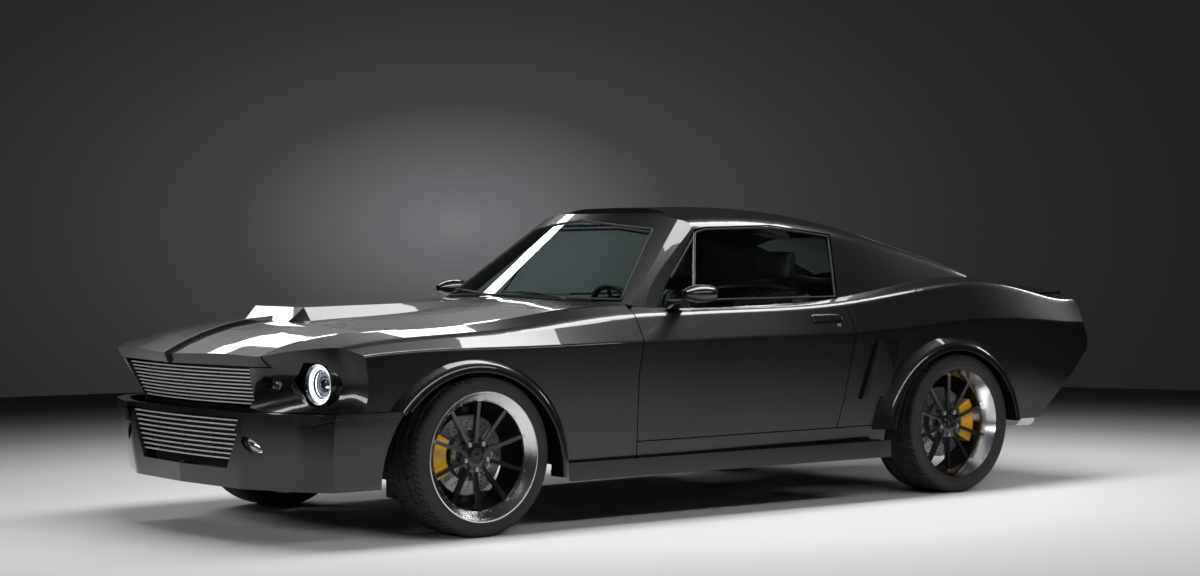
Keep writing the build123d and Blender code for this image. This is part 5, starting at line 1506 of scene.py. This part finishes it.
# ---------------------------------------------------------------- seats
@dataclass
class Seats(Builder):
    """Sewn leather seats, swollen by a short cloth simulation."""

    seat_y: float = 0.375
    voxel: float = 0.013
    frames: int = 20
    pressure: float = 4.0
    travel: float = 0.024
    flute_pitch: float = 0.062
    flute_depth: float = 0.007
    flute_width: float = 0.007

    def build(self) -> None:
        """Build the front seats and the rear seat."""
        y = self.seat_y
        parts = [
            ("left_seat_cushion", mm(
                (75, 315), (82, 455), (45, 474), (-345, 432), (-372, 400), (-360, 315),
            ), y - 0.165, y + 0.165, "x"),
            ("left_seat_back", mm((-398, 470), (-560, 985), (-640, 985), (-512, 440)),
             y - 0.165, y + 0.165, "z"),
            ("left_seat_headrest", mm(
                (-566, 1022), (-582, 1148), (-650, 1148), (-640, 1022),
            ),
             y - 0.115, y + 0.115, None),
        ]
        for offset, tag in ((-0.205, "inner"), (0.205, "outer")):
            parts.append((f"left_seat_{tag}_thigh", mm(
                (70, 315), (78, 462), (40, 488), (-340, 446), (-372, 400), (-360, 315),
            ), y + offset - 0.032, y + offset + 0.032, None))
            parts.append((f"left_seat_{tag}_wing", mm(
                (-388, 470), (-545, 930), (-640, 965), (-512, 440),
            ), y + offset - 0.032, y + offset + 0.032, None))
        for name, profile, low, high, flutes in parts:
            piece = self.pad(name, profile, low, high, flutes)
            for made in (piece, mirrored(piece, name.replace("left", "right"))):
                self.finish_pad(made, "front_seats")
        for name, low, high in (("rear_seat_left", 0.02, 0.54), ("rear_seat_right", -0.54, -0.02)):
            inner, outer = (low + 0.115, high) if low > 0 else (low, high - 0.115)
            cushion = self.pad(f"{name}_cushion", mm(
                (-745, 290), (-732, 470), (-770, 510), (-985, 506), (-985, 490), (-835, 425),
                (-805, 290),
            ), inner, outer, None)
            back = self.pad(f"{name}_back", mm(
                (-1010, 545), (-1150, 915), (-1192, 915), (-1105, 610), (-1080, 545),
            ), low, high, "z")
            self.finish_pad(cushion, "rear_seat")
            self.finish_pad(back, "rear_seat")
        LOG.info("seats")

    def finish_pad(self, piece: Piece, node: str) -> None:
        """Dress a pad, which stands for a construction piece."""
        dress(piece, self.palette.leather, "body")
        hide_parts(node)

    def pad(self, name: str, profile: Outline, low: float, high: float,
            flutes: str | None) -> Piece:
        """Pad with a side profile, from one width to another.

        Args:
            name: Name of the piece.
            profile: Points (x, z).
            low: Its least y.
            high: Its greatest y.
            flutes: "x" or "z" for sewn channels across that way, None for none.

        Returns:
            The pad.
        """
        piece = slab(name, [(x, low, z) for x, z in profile], (0, high - low, 0), 0.016)
        modify(piece, "REMESH", mode="VOXEL", voxel_size=self.voxel)
        self.swell(piece)
        modify(piece, "SUBSURF", levels=1, render_levels=1)
        if flutes:
            self.sew(piece, low, high, flutes)
        activate(piece)
        bpy.ops.object.shade_smooth()
        return piece

    def swell(self, piece: Piece) -> None:
        """Puff a pad up under pressure, no point going further than allowed."""
        start = [v.co.copy() for v in piece.data.vertices]
        activate(piece)
        cloth = piece.modifiers.new("cloth", "CLOTH")
        cloth.settings.use_pressure = True
        cloth.settings.uniform_pressure_force = self.pressure
        cloth.settings.effector_weights.gravity = 0
        scene = bpy.context.scene
        for number in range(1, self.frames + 1):
            scene.frame_set(number)
        bpy.ops.object.modifier_apply(modifier=cloth.name)
        scene.frame_set(1)
        for vertex, was in zip(piece.data.vertices, start):
            step = vertex.co - was
            if step.length > self.travel:
                vertex.co = was + step * (self.travel / step.length)

    def sew(self, piece: Piece, low: float, high: float, flutes: str) -> None:
        """Press sewn channels and a border seam into a pad's front."""
        middle = (low + high) / 2
        reach = (high - low) / 2 - 0.035
        facing = Vector((0.2, 0, 1)) if flutes == "x" else Vector((1, 0, 0.3))
        facing.normalize()
        normals = [v.normal.copy() for v in piece.data.vertices]
        for vertex, normal in zip(piece.data.vertices, normals):
            if normal.dot(facing) < 0.55:
                continue
            across = vertex.co.y - middle
            nearest = (across / self.flute_pitch - 0.5) - round(across / self.flute_pitch - 0.5)
            inside = abs(across) < reach
            flute = math.exp(-((nearest * self.flute_pitch / self.flute_width) ** 2))
            depth = flute if inside else 0.0
            depth = max(depth, math.exp(-(((abs(across) - reach) / self.flute_width) ** 2)))
            vertex.co -= normal * self.flute_depth * depth


def plain_finishes(frame: dict, palette: Palette) -> None:
    """Give the construction pieces that stay their finishes.

    Args:
        frame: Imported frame.
        palette: Finishes.
    """
    by_slot = {
        "paint": palette.paint, "glass": palette.glass, "tyre": palette.tyre, "wheel": palette.wheel_black,
        "steel": palette.steel, "caliper": palette.gold, "underbody": palette.underbody,
        "cast": palette.cast, "bright_bar": palette.upper_bars, "lamp": palette.lens,
        "red_lamp": palette.red_lens, "leather": palette.leather, "trim": palette.plastic,
    }
    slots = {s["node"]: s["material_slot"] for s in frame["record"]["subparts"]}
    for name, node in frame["nodes"].items():
        node.data.materials.clear()
        node.data.materials.append(by_slot[slots[name]])
    frame["nodes"]["lower_grille"].data.materials[0] = palette.lower_bars


def main() -> None:
    """Build every piece in order."""
    logging.basicConfig(level=logging.INFO, format="%(name)s: %(message)s")
    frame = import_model()
    palette = Palette()
    plain_finishes(frame, palette)
    Studio().build()
    for side in Side:
        for end, axle_x, tyre_y, width, dish in (
            ("front", FRONT_AXLE_X, FRONT_TYRE_Y, 0.245, 0.036),
            ("rear", REAR_AXLE_X, REAR_TYRE_Y, 0.275, 0.074),
        ):
            corner = f"{end}_{side.word}"
            RoadWheel(frame, palette, corner, axle_x, tyre_y, side, width, dish).build()
    Calipers(frame, palette).build()
    Lamps(frame, palette).build()
    Seals(frame, palette).build()
    Brightwork(frame, palette).build()
    Seats(frame, palette).build()
    settle()


if __name__ == "__main__":
    main()
